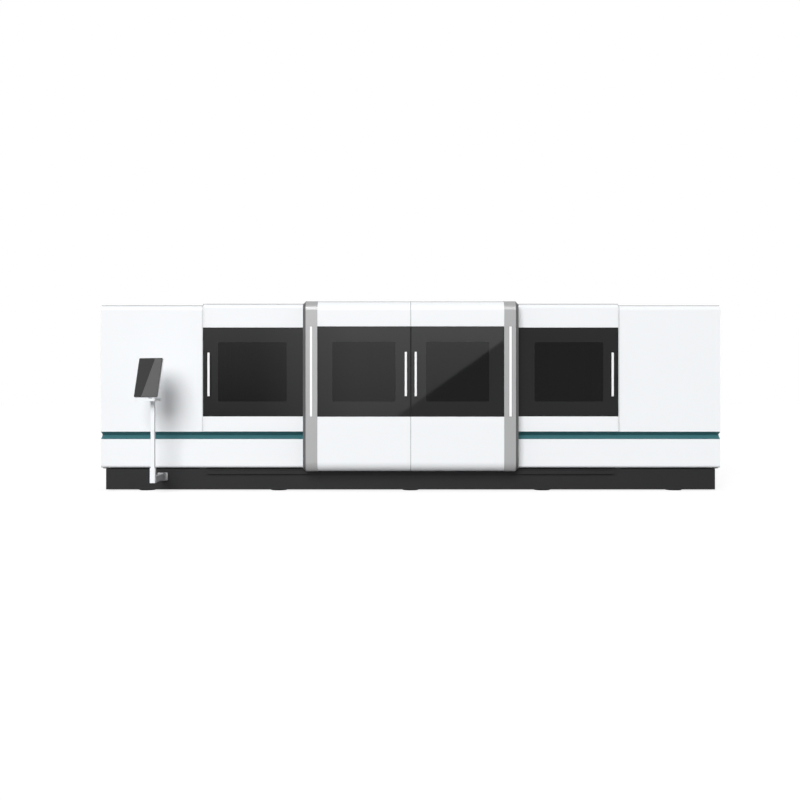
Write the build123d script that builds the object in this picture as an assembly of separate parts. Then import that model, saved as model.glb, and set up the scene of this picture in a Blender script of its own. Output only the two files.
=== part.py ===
from build123d import *
import math
import os

# Laser cladding machine for shafts and rollers.
# X runs along the machine, Y from the front to the back and Z up from the floor, in millimetres.
# While it is modelled, Y is 0 at the face of the outer covers. The last step moves the whole
# machine so that the origin lies on the floor under the middle of its outer box.

# Body
body_half_length = 3700.0
body_depth = 2000.0
cover_top = 2220.0
cover_wall = 3.0
cover_edge_radius = 60.0
section_seam = 2480.0  # where the outer covers end and the side doors begin
seam_gap = 3.0

# Lower covers and the V groove above them
lower_cover_bottom = 276.0
lower_cover_lip_radius = 30.0
groove_bottom = 621.0
groove_top = 707.0
groove_depth = 70.0
groove_valley = 668.0

# Plinth and its pads
plinth_end_inset = 47.0
plinth_front = 50.0
plinth_wall = 12.0
plinth_top = 262.0
plinth_flange_width = 140.0
plinth_flange_thickness = 15.0
plinth_back_inset = 10.0
pad_height = 12.0
pad_radius = 95.0
pad_chamfer = 3.0
pad_pitch = 1590.0
pads_per_side = 5
pad_inset = 100.0
pad_stud_radius = 12.0
pad_stud_height = 75.0

# Enclosure frame of square tubes
tube = 60.0
front_post_y = 80.0
header_depth = 122.0
header_front = 18.0
opening_half_width = 2470.0

# Doors
glass_bottom = 890.0
glass_top = 1949.0
glass_thickness = 6.0
glass_gap = 1.5
door_wall = 3.0
door_window_bottom = 1067.0

side_door_front = -10.0
side_door_bottom = 709.0
side_door_top = 2236.0
side_door_inner_edge = 1230.0
side_door_return = 48.0
side_door_radius = 50.0
side_window_inner = 1480.0
side_window_outer = 2300.0
side_window_top = 1775.0
side_frame_thickness = 15.0
side_frame_width = 30.0
side_frame_inset = 10.0
side_return_drop = 12.0
side_seal_front = -56.0

centre_door_front = -200.0
centre_door_bottom = 244.0
centre_door_top = 2252.0
centre_door_radius = 110.0
centre_door_outer_edge = 1270.0
centre_door_back = -60.0
centre_door_return = 96.0
centre_window_inner = 180.0
centre_window_outer = 922.0
centre_window_top = 1770.0
centre_rib_depth = 37.0
centre_rib_width = 20.0
centre_rib_inset = 30.0
centre_rib_clearance = 12.0
centre_rib_taper = 80.0
glide_drop = 14.0
glide_gap = 3.0
centre_bar_height = 30.0

band_width = 172.0
band_proud = 4.0
band_wall = 40.0
band_chamfer = 32.0
band_skin = 6.0
band_return_wall = 7.0
band_side_wall = 8.0
strip_width = 30.0
strip_inset = 98.0  # from the outer edge of the centre door to the middle of its light strip
strip_proud = 1.5
strip_tail = 8.0
strip_chamfer = 1.0

handle_width = 26.0
handle_bottom = 1129.0
handle_top = 1649.0
handle_post_radius = 8.0
handle_post_inset = 60.0
handle_corner_radius = 4.0
handle_chamfer = 2.0
centre_handle_x = 58.0
centre_handle_reach = 55.0
centre_handle_thickness = 20.0
side_handle_x = 2405.0
side_handle_reach = 40.0
side_handle_thickness = 14.0

# Door rails
rail_clearance = 0.5
rail_end_gap = 5.0
sill_rail_front = 1.0
sill_rail_depth = 10.0
sill_rail_height = 17.5
roof_side_rail_y = 28.0
roof_side_rail_depth = 12.0
roof_side_rail_height = 10.0
roof_centre_rail_y = 70.0
roof_centre_rail_depth = 15.0
roof_centre_rail_height = 19.5
plinth_rail_front = 12.0
plinth_rail_bottom = 200.0
plinth_rail_top = 238.0
plinth_rail_gap = 2.0
centre_rail_half_length = 2440.0

# Bed, work axis and linear rails
bed_bottom = plinth_top
bed_top = 640.0
bed_front = 500.0
bed_back = 1660.0
bed_inset_left = 140.0
bed_inset_right = 200.0
bed_wall = 25.0
bed_cells = 3
trough_depth = 15.0
axis_y = 820.0
axis_z = 1150.0
rail_width = 34.0
rail_height = 32.0
rail_waist = 5.0
rail_waist_low = 11.0
rail_waist_high = 19.0
work_rail_spread = 440.0
column_rail_front = 1250.0
column_rail_back = 1590.0
block_side_gap = 0.3
block_width = 80.0
block_length = 120.0
block_cap = 12.0
block_foot_gap = 6.0

# Headstock and chuck
headstock_inset = 110.0
headstock_length = 810.0
headstock_drum_radius = 230.0
headstock_rib_radius = 250.0
headstock_rib_width = 20.0
headstock_rib_count = 6
headstock_foot_width = 520.0
headstock_neck_width = 340.0
spindle_radius = 90.0
spindle_seat_depth = 60.0
spindle_flange_radius = 140.0
spindle_flange_length = 40.0
running_gap = 0.05
face_gap = 0.4
chuck_radius = 200.0
chuck_length = 150.0
chuck_bore_radius = 40.0
chuck_chamfer = 6.0
jaw_count = 3
jaw_slot_width = 36.0
jaw_slot_depth = 28.0
jaw_inner = 75.0
jaw_length = 95.0
jaw_height = 60.0
jaw_step = 25.0
jaw_side_gap = 0.4

# Tailstock
tail_left = 1500.0
tail_right = 2050.0
tail_plate_thickness = 40.0
tail_barrel_radius = 105.0
tail_foot_width = 460.0
tail_neck_width = 150.0
quill_radius = 55.0
quill_front = 1440.0
quill_back = 1960.0
centre_shank_radius = 20.0
centre_shank_length = 60.0
centre_collar_radius = 38.0
centre_collar_length = 12.0
centre_cone_length = 66.0
centre_tip_radius = 1.0

# Column, saddle, cross arm and cladding head
column_x = -400.0
carriage_half_length = 220.0
carriage_thickness = 40.0
column_half_width = 150.0
column_front = 1320.0
column_back = 1600.0
column_top = 2080.0
column_wall = 20.0
column_rail_spread = 190.0
column_rail_size = 25.0
saddle_bottom = 1740.0
saddle_top = 1960.0
saddle_thickness = 36.0
saddle_hook_gap = 1.0
saddle_reach = 190.0  # from the side of the column to the far side of the arm guide
arm_size = 120.0
arm_gap = 0.5
arm_chamfer = 8.0
arm_guide_wall = 28.0
arm_front = 900.0
arm_back = 1540.0
arm_guide_front = 1170.0
arm_guide_back = 1300.0
head_pivot_radius = 30.0
head_pivot_length = 40.0
head_hub_radius = 68.0
head_hub_length = 34.0
head_body_radius = 46.0
head_body_above = 130.0
head_body_below = 190.0
head_ring_radius = 58.0
head_ring_height = 28.0
head_cap_radius = 28.0
head_cap_height = 28.0
nozzle_length = 120.0
nozzle_cone_height = 90.0
nozzle_neck_radius = 37.0
nozzle_tip_radius = 8.0
nozzle_bore_radius = 4.0
powder_port_radius = 7.0
powder_port_count = 4

# Roof, extraction collar, rear and cabinet
collar_x = 1200.0
collar_y = 1500.0
collar_radius = 100.0
collar_wall = 3.0
collar_height = 100.0
collar_flange_radius = 140.0
collar_flange_thickness = 6.0
louvre_length = 360.0
louvre_height = 14.0
louvre_pitch = 44.0
louvre_count = 8
end_louvre_y = 1400.0
louvre_bottom = 1500.0
cabinet_left = 300.0
cabinet_right = 1900.0
cabinet_bottom = 330.0
cabinet_top = 2150.0
cabinet_front = 1690.0
cabinet_wall = 3.0
rear_door_thickness = 20.0
rear_door_wall = 2.0
rear_door_gap = 3.0
hinge_pin_radius = 5.0
hinge_knuckle_radius = 9.0
hinge_knuckle_height = 40.0
hinge_offset = 12.0
hinge_lug_height = 14.0
hinge_lug_half_width = 6.0
hinge_leaf_half_depth = 5.0
hinge_inset = 220.0

# Console
console_x = -2972.0
console_pivot_y = 6.0
console_post_y = -430.0
console_pin_radius = 12.0
arm_boss_radius = 28.0
console_arm_width = 50.0
console_arm_bottom = 133.0
console_arm_top = 203.0
console_lug_thickness = 12.0
console_plate_half_width = 60.0
console_plate_thickness = 12.0
console_plate_radius = 12.0
foot_size = 62.0
foot_bottom = 131.0
foot_top = 301.0
foot_radius = 8.0
post_width = 45.0
post_depth = 50.0
post_top = 1060.0
post_radius = 6.0
spigot_radius = 15.0
spigot_height = 30.0
head_yaw = -17.0
tray_width = 250.0
tray_depth = 150.0
tray_bottom = 1072.0
tray_top = 1104.0
tray_offset = 105.0
tray_hub_radius = 34.0
tray_corner_radius = 18.0
screen_width = 300.0
screen_height = 465.0
screen_thickness = 30.0
screen_centre_z = 1342.0
screen_offset = 105.0
screen_lean = -15.0
screen_corner_radius = 12.0
screen_back_chamfer = 6.0
display_margin = 6.0
display_thickness = 3.0
tilt_axis_offset = 66.0
tilt_axis_z = 1300.0
tilt_pin_radius = 6.0
tilt_barrel_radius = 14.0
tilt_barrel_half_length = 30.0
neck_half_width = 18.0
neck_back = 44.0
ear_thickness = 12.0

nodes = {}


def block(x_from, x_to, y_from, y_to, z_from, z_to):
    """A box between two planes on each axis."""
    middle = ((x_from + x_to) / 2, (y_from + y_to) / 2, (z_from + z_to) / 2)
    return Pos(*middle) * Box(x_to - x_from, y_to - y_from, z_to - z_from)


def rod_x(radius, x_from, x_to, y, z):
    """A round bar along X."""
    return Pos((x_from + x_to) / 2, y, z) * Rot(0, 90, 0) * Cylinder(radius, x_to - x_from)


def rod_y(radius, y_from, y_to, x, z):
    """A round bar along Y."""
    return Pos(x, (y_from + y_to) / 2, z) * Rot(90, 0, 0) * Cylinder(radius, y_to - y_from)


def rod_z(radius, z_from, z_to, x, y):
    """A round bar along Z."""
    return Pos(x, y, (z_from + z_to) / 2) * Cylinder(radius, z_to - z_from)


def heading(start, end):
    """The unit direction from one point to the next."""
    length = math.dist(start, end)
    return ((end[0] - start[0]) / length, (end[1] - start[1]) / length)


def line_beside(points, wall):
    """The line of points that lies one wall thickness to the right of a line of points."""
    beside = []
    for index, point in enumerate(points):
        legs = []
        if index > 0:
            legs.append(heading(points[index - 1], point))
        if index < len(points) - 1:
            legs.append(heading(point, points[index + 1]))
        first = legs[0]
        last = legs[-1]
        sum_x = first[1] + last[1]
        sum_y = -first[0] - last[0]
        share = wall / (1 + first[0] * last[0] + first[1] * last[1])
        beside.append((point[0] + share * sum_x, point[1] + share * sum_y))
    return beside


def rounded_edges(points, radii):
    """Straight runs through the points, joined by an arc at each corner that has a radius."""
    edges = []
    start = points[0]
    for corner, after, radius in zip(points[1:], points[2:], radii):
        if radius <= 0:
            edges.append(Line(start, corner))
            start = corner
            continue
        arriving = heading(start, corner)
        leaving = heading(corner, after)
        turn = math.acos(arriving[0] * leaving[0] + arriving[1] * leaving[1])
        reach = radius * math.tan(turn / 2)
        arc_start = (corner[0] - reach * arriving[0], corner[1] - reach * arriving[1])
        arc_end = (corner[0] + reach * leaving[0], corner[1] + reach * leaving[1])
        inward = heading(corner, ((arc_start[0] + arc_end[0]) / 2, (arc_start[1] + arc_end[1]) / 2))
        depth = radius / math.cos(turn / 2) - radius
        arc_middle = (corner[0] + depth * inward[0], corner[1] + depth * inward[1])
        edges.append(Line(start, arc_start))
        edges.append(ThreePointArc(arc_start, arc_middle, arc_end))
        start = arc_end
    edges.append(Line(start, points[-1]))
    return edges


def bend_sign(before, corner, after):
    """1 where the line turns right, and -1 where it turns left."""
    arriving = heading(before, corner)
    leaving = heading(corner, after)
    return -math.copysign(1, arriving[0] * leaving[1] - arriving[1] * leaving[0])


def folded_section(points, radii, wall):
    """The section of a folded sheet: its outer line, and one wall thickness to the right of it."""
    inner_points = line_beside(points, wall)
    inner_radii = []
    for index, radius in enumerate(radii):
        sign = bend_sign(points[index], points[index + 1], points[index + 2])
        inner_radii.append(radius - sign * wall if radius > 0 else 0)
    outer = rounded_edges(points, radii)
    inner = rounded_edges(inner_points, inner_radii)
    caps = [Line(points[0], inner_points[0]), Line(points[-1], inner_points[-1])]
    return make_face(outer + caps + inner)


def along_x(section, x_from, x_to):
    """A section drawn in Y and Z, extruded along X."""
    return extrude(Plane.YZ.offset(x_from) * section, amount=x_to - x_from, dir=(1, 0, 0))


def mirrored(solid):
    """The same piece on the other side of the machine's middle plane."""
    return mirror(solid, about=Plane.YZ)


def group(*solids):
    """Several separate solids in one node."""
    return Compound(children=list(solids))


def add_pair(name_left, name_right, right_solid):
    """Keeps a piece of the right half, and its mirror image on the left."""
    nodes[name_right] = right_solid
    nodes[name_left] = mirrored(right_solid)


# Where the pieces meet
cover_inner_top = cover_top - cover_wall
plinth_half_length = body_half_length - plinth_end_inset
plinth_back = body_depth - plinth_back_inset
rear_inner = body_depth - cover_wall
rear_post_front = rear_inner - tube
header_bottom = cover_inner_top - tube
rail_top = bed_top + rail_height
block_top = rail_top + block_cap
bed_left = -body_half_length + bed_inset_left
bed_right = body_half_length - bed_inset_right
headstock_left = bed_left + headstock_inset
headstock_right = headstock_left + headstock_length
opening_right = section_seam + seam_gap / 2
door_outer_edge = section_seam - seam_gap / 2
sill_top = groove_top


def build_plinth():
    """Black base of the machine: walls, inward flanges and cross webs between the pads."""
    half = plinth_half_length
    outer = block(-half, half, plinth_front, plinth_back, pad_height, plinth_top)
    wall = plinth_wall
    hollow = block(
        -half + wall, half - wall, plinth_front + wall, plinth_back - wall, pad_height, plinth_top
    )
    flange = plinth_flange_width
    window = block(
        -half + flange, half - flange, plinth_front + flange, plinth_back - flange,
        pad_height, plinth_top,
    )
    low = pad_height + plinth_flange_thickness
    high = plinth_top - plinth_flange_thickness
    whole = outer - hollow
    for z_from, z_to in ((pad_height, low), (high, plinth_top)):
        sheet = block(-half, half, plinth_front, plinth_back, z_from, z_to)
        whole += sheet - window
    for x in pad_places():
        if abs(x) < half - flange - pad_radius:
            for side in (-1, 1):
                web_x = x + side * pad_radius
                whole += block(
                    web_x - wall / 2, web_x + wall / 2, plinth_front, plinth_back, low, high
                )
    for x in pad_places():
        for y in pad_rows():
            whole -= rod_z(pad_stud_radius + running_gap, pad_height - 1, low + 1, x, y)
    return whole


def pad_places():
    """X of each pad in a row."""
    first = -(pads_per_side - 1) / 2 * pad_pitch
    return [first + index * pad_pitch for index in range(pads_per_side)]


def pad_rows():
    """Y of the front and the rear row of pads."""
    return (plinth_front + pad_inset, plinth_back - pad_inset)


def build_pads():
    """Levelling pads: a disc on the floor and a stud up through the plinth's flange."""
    pads = []
    for x in pad_places():
        for y in pad_rows():
            disc = rod_z(pad_radius, 0, pad_height, x, y)
            disc = chamfer(disc.edges().group_by(Axis.Z)[-1], pad_chamfer)
            stud = rod_z(pad_stud_radius, pad_height, pad_height + pad_stud_height, x, y)
            pads.append(disc + stud)
    return group(*pads)


def build_bed():
    """Machine bed: a closed box section with cells, open at its ends, and a raised way under each rail."""
    bed = block(bed_left, bed_right, bed_front, bed_back, bed_bottom, bed_top)
    cell_depth = (bed_back - bed_front - (bed_cells + 1) * bed_wall) / bed_cells
    for index in range(bed_cells):
        y_from = bed_front + bed_wall + index * (cell_depth + bed_wall)
        section = Pos(y_from + cell_depth / 2, (bed_bottom + bed_top) / 2) * RectangleRounded(
            cell_depth, bed_top - bed_bottom - 2 * bed_wall, bed_wall
        )
        bed -= along_x(section, bed_left - 1, bed_right + 1)
    chip_width = column_rail_front - axis_y - work_rail_spread / 2 - 2 * block_width
    trough_middle = (column_rail_front + axis_y + work_rail_spread / 2) / 2
    for y in (axis_y, trough_middle):
        width = min(chip_width, work_rail_spread - 2 * block_width)
        trough = Polygon(
            (y - width / 2, bed_top), (y + width / 2, bed_top), (y, bed_top - trough_depth), align=None
        )
        bed -= along_x(trough, bed_left - 1, bed_right + 1)
    return bed


def rail_section(y, z):
    """Section of a profiled rail whose foot stands at z."""
    half = rail_width / 2
    waist = half - rail_waist
    low = z + rail_waist_low
    high = z + rail_waist_high
    side = [(half, z), (half, low - rail_waist), (waist, low), (waist, high), (half, high + rail_waist)]
    side.append((half, z + rail_height))
    right = [(y + offset, height) for offset, height in side]
    left = [(y - offset, height) for offset, height in reversed(side)]
    return Polygon(*(right + left), align=None)


def rail_lines():
    """Y of each linear rail on the bed."""
    half = work_rail_spread / 2
    return (axis_y - half, axis_y + half, column_rail_front, column_rail_back)


def build_linear_rails():
    """Two rails for the tailstock and two for the column, screwed to the bed."""
    rails = []
    for index, y in enumerate(rail_lines()):
        x_from = headstock_right if index < 2 else bed_left + block_width
        rails.append(along_x(rail_section(y, bed_top), x_from + bed_wall, bed_right - bed_wall))
    return group(*rails)


def guide_block(x_from, x_to, y):
    """A guide block that straddles one rail with a small gap on each side."""
    low = bed_top + block_foot_gap
    body = block(x_from, x_to, y - block_width / 2, y + block_width / 2, low, block_top)
    half = rail_width / 2 + block_side_gap
    slot = block(x_from - 1, x_to + 1, y - half, y + half, bed_top, rail_top + block_side_gap)
    return body - slot


def build_headstock():
    """Cast headstock: a flared pedestal and a ribbed drum around the built-in spindle motor."""
    foot = headstock_foot_width / 2
    neck = headstock_neck_width / 2
    pedestal = Polygon(
        (axis_y - foot, bed_top), (axis_y + foot, bed_top), (axis_y + foot, bed_top + bed_wall),
        (axis_y + neck, axis_z - neck), (axis_y + neck, axis_z),
        (axis_y - neck, axis_z), (axis_y - neck, axis_z - neck), (axis_y - foot, bed_top + bed_wall),
        align=None,
    )
    casting = along_x(pedestal, headstock_left, headstock_right)
    casting += rod_x(headstock_drum_radius, headstock_left, headstock_right, axis_y, axis_z)
    step = (headstock_right - headstock_left) / (headstock_rib_count + 1)
    for index in range(headstock_rib_count):
        x = headstock_left + (index + 1) * step
        half = headstock_rib_width / 2
        casting += rod_x(headstock_rib_radius, x - half, x + half, axis_y, axis_z)
    seat_back = headstock_right - spindle_seat_depth
    casting -= rod_x(spindle_radius + running_gap, seat_back, headstock_right + 1, axis_y, axis_z)
    return casting


chuck_back = headstock_right + face_gap + spindle_flange_length
chuck_face = chuck_back + chuck_length


def build_chuck():
    """Spindle nose, flange and chuck body with a through bore and a slot for each jaw."""
    seat_back = headstock_right - spindle_seat_depth + face_gap
    chuck = rod_x(spindle_radius, seat_back, headstock_right + face_gap, axis_y, axis_z)
    chuck += rod_x(spindle_flange_radius, headstock_right + face_gap, chuck_back, axis_y, axis_z)
    body = rod_x(chuck_radius, chuck_back, chuck_face, axis_y, axis_z)
    chuck += chamfer(body.edges().group_by(Axis.X)[-1], chuck_chamfer)
    chuck -= rod_x(chuck_bore_radius, chuck_back, chuck_face + 1, axis_y, axis_z)
    for index in range(jaw_count):
        slot = block(
            chuck_face - jaw_slot_depth, chuck_face + 1, -jaw_slot_width / 2, jaw_slot_width / 2,
            chuck_bore_radius / 2, chuck_radius + 1,
        )
        chuck -= at_jaw(index) * slot
    return chuck


def at_jaw(index):
    """Turns a piece drawn straight up from the work axis to the place of a jaw."""
    return Pos(0, axis_y, axis_z) * Rot(index * 360.0 / jaw_count, 0, 0)


def build_jaw(index):
    """Stepped chuck jaw that slides in its slot."""
    half = jaw_slot_width / 2 - jaw_side_gap
    back = chuck_face - jaw_slot_depth + jaw_side_gap
    front = chuck_face + jaw_height
    jaw = block(back, front, -half, half, jaw_inner, jaw_inner + jaw_length)
    jaw -= block(
        front - jaw_step, front + 1, -half - 1, half + 1, jaw_inner + jaw_step, jaw_inner + jaw_length + 1
    )
    return at_jaw(index) * jaw


def build_tailstock():
    """Tailstock: saddle plate on four guide blocks, tapered body and bored barrel."""
    low = axis_y - work_rail_spread / 2 - block_width / 2
    high = axis_y + work_rail_spread / 2 + block_width / 2
    plate_top = block_top + tail_plate_thickness
    body = block(tail_left, tail_right, low, high, block_top, plate_top)
    for y in rail_lines()[:2]:
        body += guide_block(tail_left, tail_left + block_length, y)
        body += guide_block(tail_right - block_length, tail_right, y)
    foot = tail_foot_width / 2
    neck = tail_neck_width / 2
    section = Polygon(
        (axis_y - foot, plate_top), (axis_y + foot, plate_top), (axis_y + neck, axis_z),
        (axis_y - neck, axis_z), align=None,
    )
    inset = block_length / 2
    body += along_x(section, tail_left + inset, tail_right - inset)
    body += rod_x(tail_barrel_radius, tail_left + inset / 2, tail_right - inset / 2, axis_y, axis_z)
    body -= rod_x(quill_radius + running_gap, tail_left - 1, quill_back + inset, axis_y, axis_z)
    return body


def build_quill():
    """Quill with the seat of the live centre in its nose."""
    quill = rod_x(quill_radius, quill_front, quill_back, axis_y, axis_z)
    seat = quill_front + centre_shank_length + face_gap
    quill -= rod_x(centre_shank_radius + running_gap, quill_front - 1, seat, axis_y, axis_z)
    return quill


def build_live_centre():
    """Live centre: shank in the quill, collar and 60 degree point."""
    back = quill_front - face_gap
    front = back - centre_collar_length
    shank = rod_x(centre_shank_radius, back, quill_front + centre_shank_length, axis_y, axis_z)
    collar = rod_x(centre_collar_radius, front, back, axis_y, axis_z)
    tip = front - centre_cone_length
    point = Pos((tip + front) / 2, axis_y, axis_z) * Rot(0, 90, 0) * Cone(
        centre_tip_radius, centre_collar_radius, centre_cone_length
    )
    return shank + collar + point


carriage_top = block_top + carriage_thickness


def build_column():
    """Carriage plate on four guide blocks, with the hollow column and its two upright rails."""
    low = column_rail_front - block_width / 2
    high = column_rail_back + block_width / 2
    left = column_x - carriage_half_length
    right = column_x + carriage_half_length
    body = block(left, right, low, high, block_top, carriage_top)
    for y in rail_lines()[2:]:
        body += guide_block(left, left + block_length, y)
        body += guide_block(right - block_length, right, y)
    half = column_half_width
    body += block(column_x - half, column_x + half, column_front, column_back, carriage_top, column_top)
    wall = column_wall
    body -= block(
        column_x - half + wall, column_x + half - wall, column_front + wall, column_back - wall,
        carriage_top + wall, column_top + 1,
    )
    for side in (-1, 1):
        x = column_x + side * column_rail_spread / 2
        body += block(
            x - column_rail_size / 2, x + column_rail_size / 2,
            column_front - column_rail_size, column_front, carriage_top + column_wall, column_top,
        )
    return body


arm_x = column_x + column_half_width + saddle_reach - arm_guide_wall - arm_size / 2
arm_z = (saddle_bottom + saddle_top) / 2


def build_saddle():
    """Saddle on the column's rails, with a square guide for the cross arm beside the column."""
    back = column_front - column_rail_size - block_side_gap
    plate_front = back - saddle_thickness
    half = column_half_width
    body = block(column_x - half, column_x + half, plate_front, back, saddle_bottom, saddle_top)
    for side in (-1, 1):
        x = column_x + side * column_rail_spread / 2
        for outer in (-1, 1):
            near = x + outer * (column_rail_size / 2 + block_side_gap)
            far = near + outer * column_rail_size / 2
            body += block(
                min(near, far), max(near, far), back, column_front - saddle_hook_gap,
                saddle_bottom, saddle_top,
            )
    guide_half = arm_size / 2 + arm_guide_wall
    body += block(
        column_x + half, arm_x + guide_half, arm_guide_front, arm_guide_back,
        arm_z - guide_half, arm_z + guide_half,
    )
    tunnel = arm_size / 2 + arm_gap
    body -= block(
        arm_x - tunnel, arm_x + tunnel, arm_guide_front - 1, arm_guide_back + 1,
        arm_z - tunnel, arm_z + tunnel,
    )
    return body


def build_arm():
    """Square cross arm with the bore of the head's pivot in its front end."""
    half = arm_size / 2
    arm = block(arm_x - half, arm_x + half, arm_front, arm_back, arm_z - half, arm_z + half)
    arm = chamfer(arm.edges().filter_by(Axis.Y), arm_chamfer)
    seat = arm_front + head_pivot_length + face_gap
    return arm - rod_y(head_pivot_radius + running_gap, arm_front - 1, seat, arm_x, arm_z)


head_y = arm_front - face_gap - head_hub_length - head_body_radius
nozzle_top = arm_z - head_body_below


def build_head():
    """Cladding head: pivot and hub, collimator tube and the ring that holds the nozzle."""
    hub_back = arm_front - face_gap
    hub_front = head_y
    head = rod_y(head_pivot_radius, hub_back, hub_back + head_pivot_length, arm_x, arm_z)
    head += rod_y(head_hub_radius, hub_front, hub_back, arm_x, arm_z)
    head += rod_z(head_body_radius, nozzle_top, arm_z + head_body_above, arm_x, head_y)
    head += rod_z(head_ring_radius, nozzle_top, nozzle_top + head_ring_height, arm_x, head_y)
    body_top = arm_z + head_body_above
    head += rod_z(head_cap_radius, body_top, body_top + head_cap_height, arm_x, head_y)
    return head


def build_nozzle():
    """Coaxial nozzle: cone with powder ports around it and the beam bore through it."""
    low = nozzle_top - nozzle_length
    neck_low = low + nozzle_cone_height
    cone = Pos(arm_x, head_y, (low + neck_low) / 2) * Cone(
        nozzle_tip_radius, nozzle_neck_radius, nozzle_cone_height
    )
    nozzle = cone + rod_z(nozzle_neck_radius, neck_low, nozzle_top, arm_x, head_y)
    for index in range(powder_port_count):
        angle = math.radians(45 + index * 360.0 / powder_port_count)
        x = arm_x + nozzle_neck_radius * math.cos(angle)
        y = head_y + nozzle_neck_radius * math.sin(angle)
        nozzle += rod_z(powder_port_radius, neck_low, nozzle_top, x, y)
    return nozzle - rod_z(nozzle_bore_radius, low - 1, nozzle_top, arm_x, head_y)


def build_frame():
    """Welded enclosure frame: posts, headers, sill tubes and the bottom tubes at the back."""
    end = body_half_length - cover_wall
    rear = rear_inner
    header_back = header_front + header_depth
    tubes = [
        block(-end, end, cover_edge_radius, header_back, header_bottom, cover_inner_top),
        block(-section_seam, section_seam, header_front, header_back, header_bottom, cover_inner_top),
        block(-end, end, rear_post_front, rear, header_bottom, cover_inner_top),
        block(-end, end, front_post_y, front_post_y + tube, sill_top - tube, sill_top),
        block(-plinth_half_length, plinth_half_length, rear_post_front, rear, plinth_top, plinth_top + tube),
    ]
    post_places = (-end, -opening_half_width - tube, opening_half_width, end - tube)
    for x in post_places:
        tubes.append(block(x, x + tube, front_post_y, front_post_y + tube, plinth_top, header_bottom))
        tubes.append(block(x, x + tube, rear_post_front, rear, plinth_top, header_bottom))
        tubes.append(block(x, x + tube, header_back, rear_post_front, header_bottom, cover_inner_top))
    frame = tubes[0]
    for piece in tubes[1:]:
        frame += piece
    return frame


def build_outer_cover():
    """Outer cover: one sheet that forms the front and the roof of the end section."""
    line = [(0, sill_top), (0, cover_top), (body_depth, cover_top)]
    section = folded_section(line, [cover_edge_radius], cover_wall)
    return along_x(section, opening_right, body_half_length)


def build_lower_cover():
    """Lower cover with a rounded lip that returns to the frame's posts."""
    line = [
        (front_post_y, lower_cover_bottom), (0, lower_cover_bottom), (0, groove_bottom - cover_wall)
    ]
    section = folded_section(line, [lower_cover_lip_radius], cover_wall)
    return along_x(section, seam_gap / 2, body_half_length)


def groove_line():
    """The V of the groove from its lower lip to its upper one, in Y and Z."""
    return [(0, groove_bottom), (groove_depth, groove_valley), (0, groove_top)]


def build_groove():
    """V groove channel whose top leg is the sill under the doors."""
    line = groove_line() + [(front_post_y, groove_top)]
    beside = line_beside(line, cover_wall)
    section = Polygon(*(line + list(reversed(beside))), align=None)
    return along_x(section, seam_gap / 2, body_half_length - cover_wall)


def louvre_cut(depth_axis, centre, depth):
    """A column of rounded slots. Each slot is long in the wall and cut right through it."""
    slots = []
    for index in range(louvre_count):
        z = louvre_bottom + index * louvre_pitch
        slot = extrude(SlotOverall(louvre_length, louvre_height), amount=depth, both=True)
        turn = Rot(90, 0, 0) if depth_axis == "y" else Rot(0, 0, 90) * Rot(90, 0, 0)
        slots.append(Pos(centre[0], centre[1], z) * turn * slot)
    return slots


def build_end_panel():
    """End wall that follows the fold of the covers and the notch of the groove, with louvres."""
    wall = cover_wall
    rear = rear_inner
    lip = lower_cover_bottom + wall
    valley = groove_line()[1]
    low_share = wall / groove_depth
    low_z = groove_bottom + low_share * (groove_valley - groove_bottom)
    high_z = groove_top - low_share * (groove_top - groove_valley)
    outline = [
        (wall, lip), (wall, low_z), valley, (wall, high_z),
        (wall, cover_inner_top), (rear, cover_inner_top), (rear, lip),
    ]
    panel = along_x(Polygon(*outline, align=None), body_half_length - wall, body_half_length)
    top_edge = panel.edges().filter_by(Axis.X).sort_by_distance(
        Vector(body_half_length, wall, cover_inner_top)
    )[0]
    panel = fillet(top_edge, cover_edge_radius - wall)
    lip_edge = panel.edges().filter_by(Axis.X).sort_by_distance(Vector(body_half_length, wall, lip))[0]
    panel = fillet(lip_edge, lower_cover_lip_radius - wall)
    for slot in louvre_cut("x", (body_half_length, end_louvre_y), 2 * wall):
        panel -= slot
    return panel


def build_roof():
    """Roof sheet between the outer covers, with the hole of the extraction collar."""
    roof = block(
        -door_outer_edge, door_outer_edge, header_front, body_depth, cover_inner_top, cover_top
    )
    return roof - rod_z(collar_radius, cover_inner_top - 1, cover_top + 1, collar_x, collar_y)


def build_collar():
    """Extraction collar with its flange on the roof."""
    outer = collar_radius + collar_wall
    collar = rod_z(outer, cover_top, cover_top + collar_height, collar_x, collar_y)
    collar += rod_z(
        collar_flange_radius, cover_top, cover_top + collar_flange_thickness, collar_x, collar_y
    )
    return collar - rod_z(
        collar_radius, cover_top - 1, cover_top + collar_height + 1, collar_x, collar_y
    )


def build_rear_panels():
    """Rear sheets from the plinth to the roof, with louvres in the outer two."""
    lip = lower_cover_bottom
    end = body_half_length
    middle = (-section_seam + cabinet_left) / 2
    spans = [
        (-end, -section_seam - seam_gap / 2),
        (-section_seam + seam_gap / 2, middle - seam_gap / 2),
        (middle + seam_gap / 2, cabinet_left - hinge_offset * 2),
        (cabinet_right + hinge_offset * 2, section_seam - seam_gap / 2),
        (section_seam + seam_gap / 2, end),
    ]
    sheets = [block(x_from, x_to, rear_inner, body_depth, lip, cover_inner_top) for x_from, x_to in spans]
    for index in (0, len(sheets) - 1):
        x_from, x_to = spans[index]
        for slot in louvre_cut("y", ((x_from + x_to) / 2, body_depth), 2 * cover_wall):
            sheets[index] -= slot
    over = block(
        cabinet_left - hinge_offset * 2 + seam_gap, cabinet_right + hinge_offset * 2 - seam_gap,
        rear_inner, body_depth, cabinet_top + hinge_offset, cover_inner_top,
    )
    return group(*sheets, over)


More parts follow.
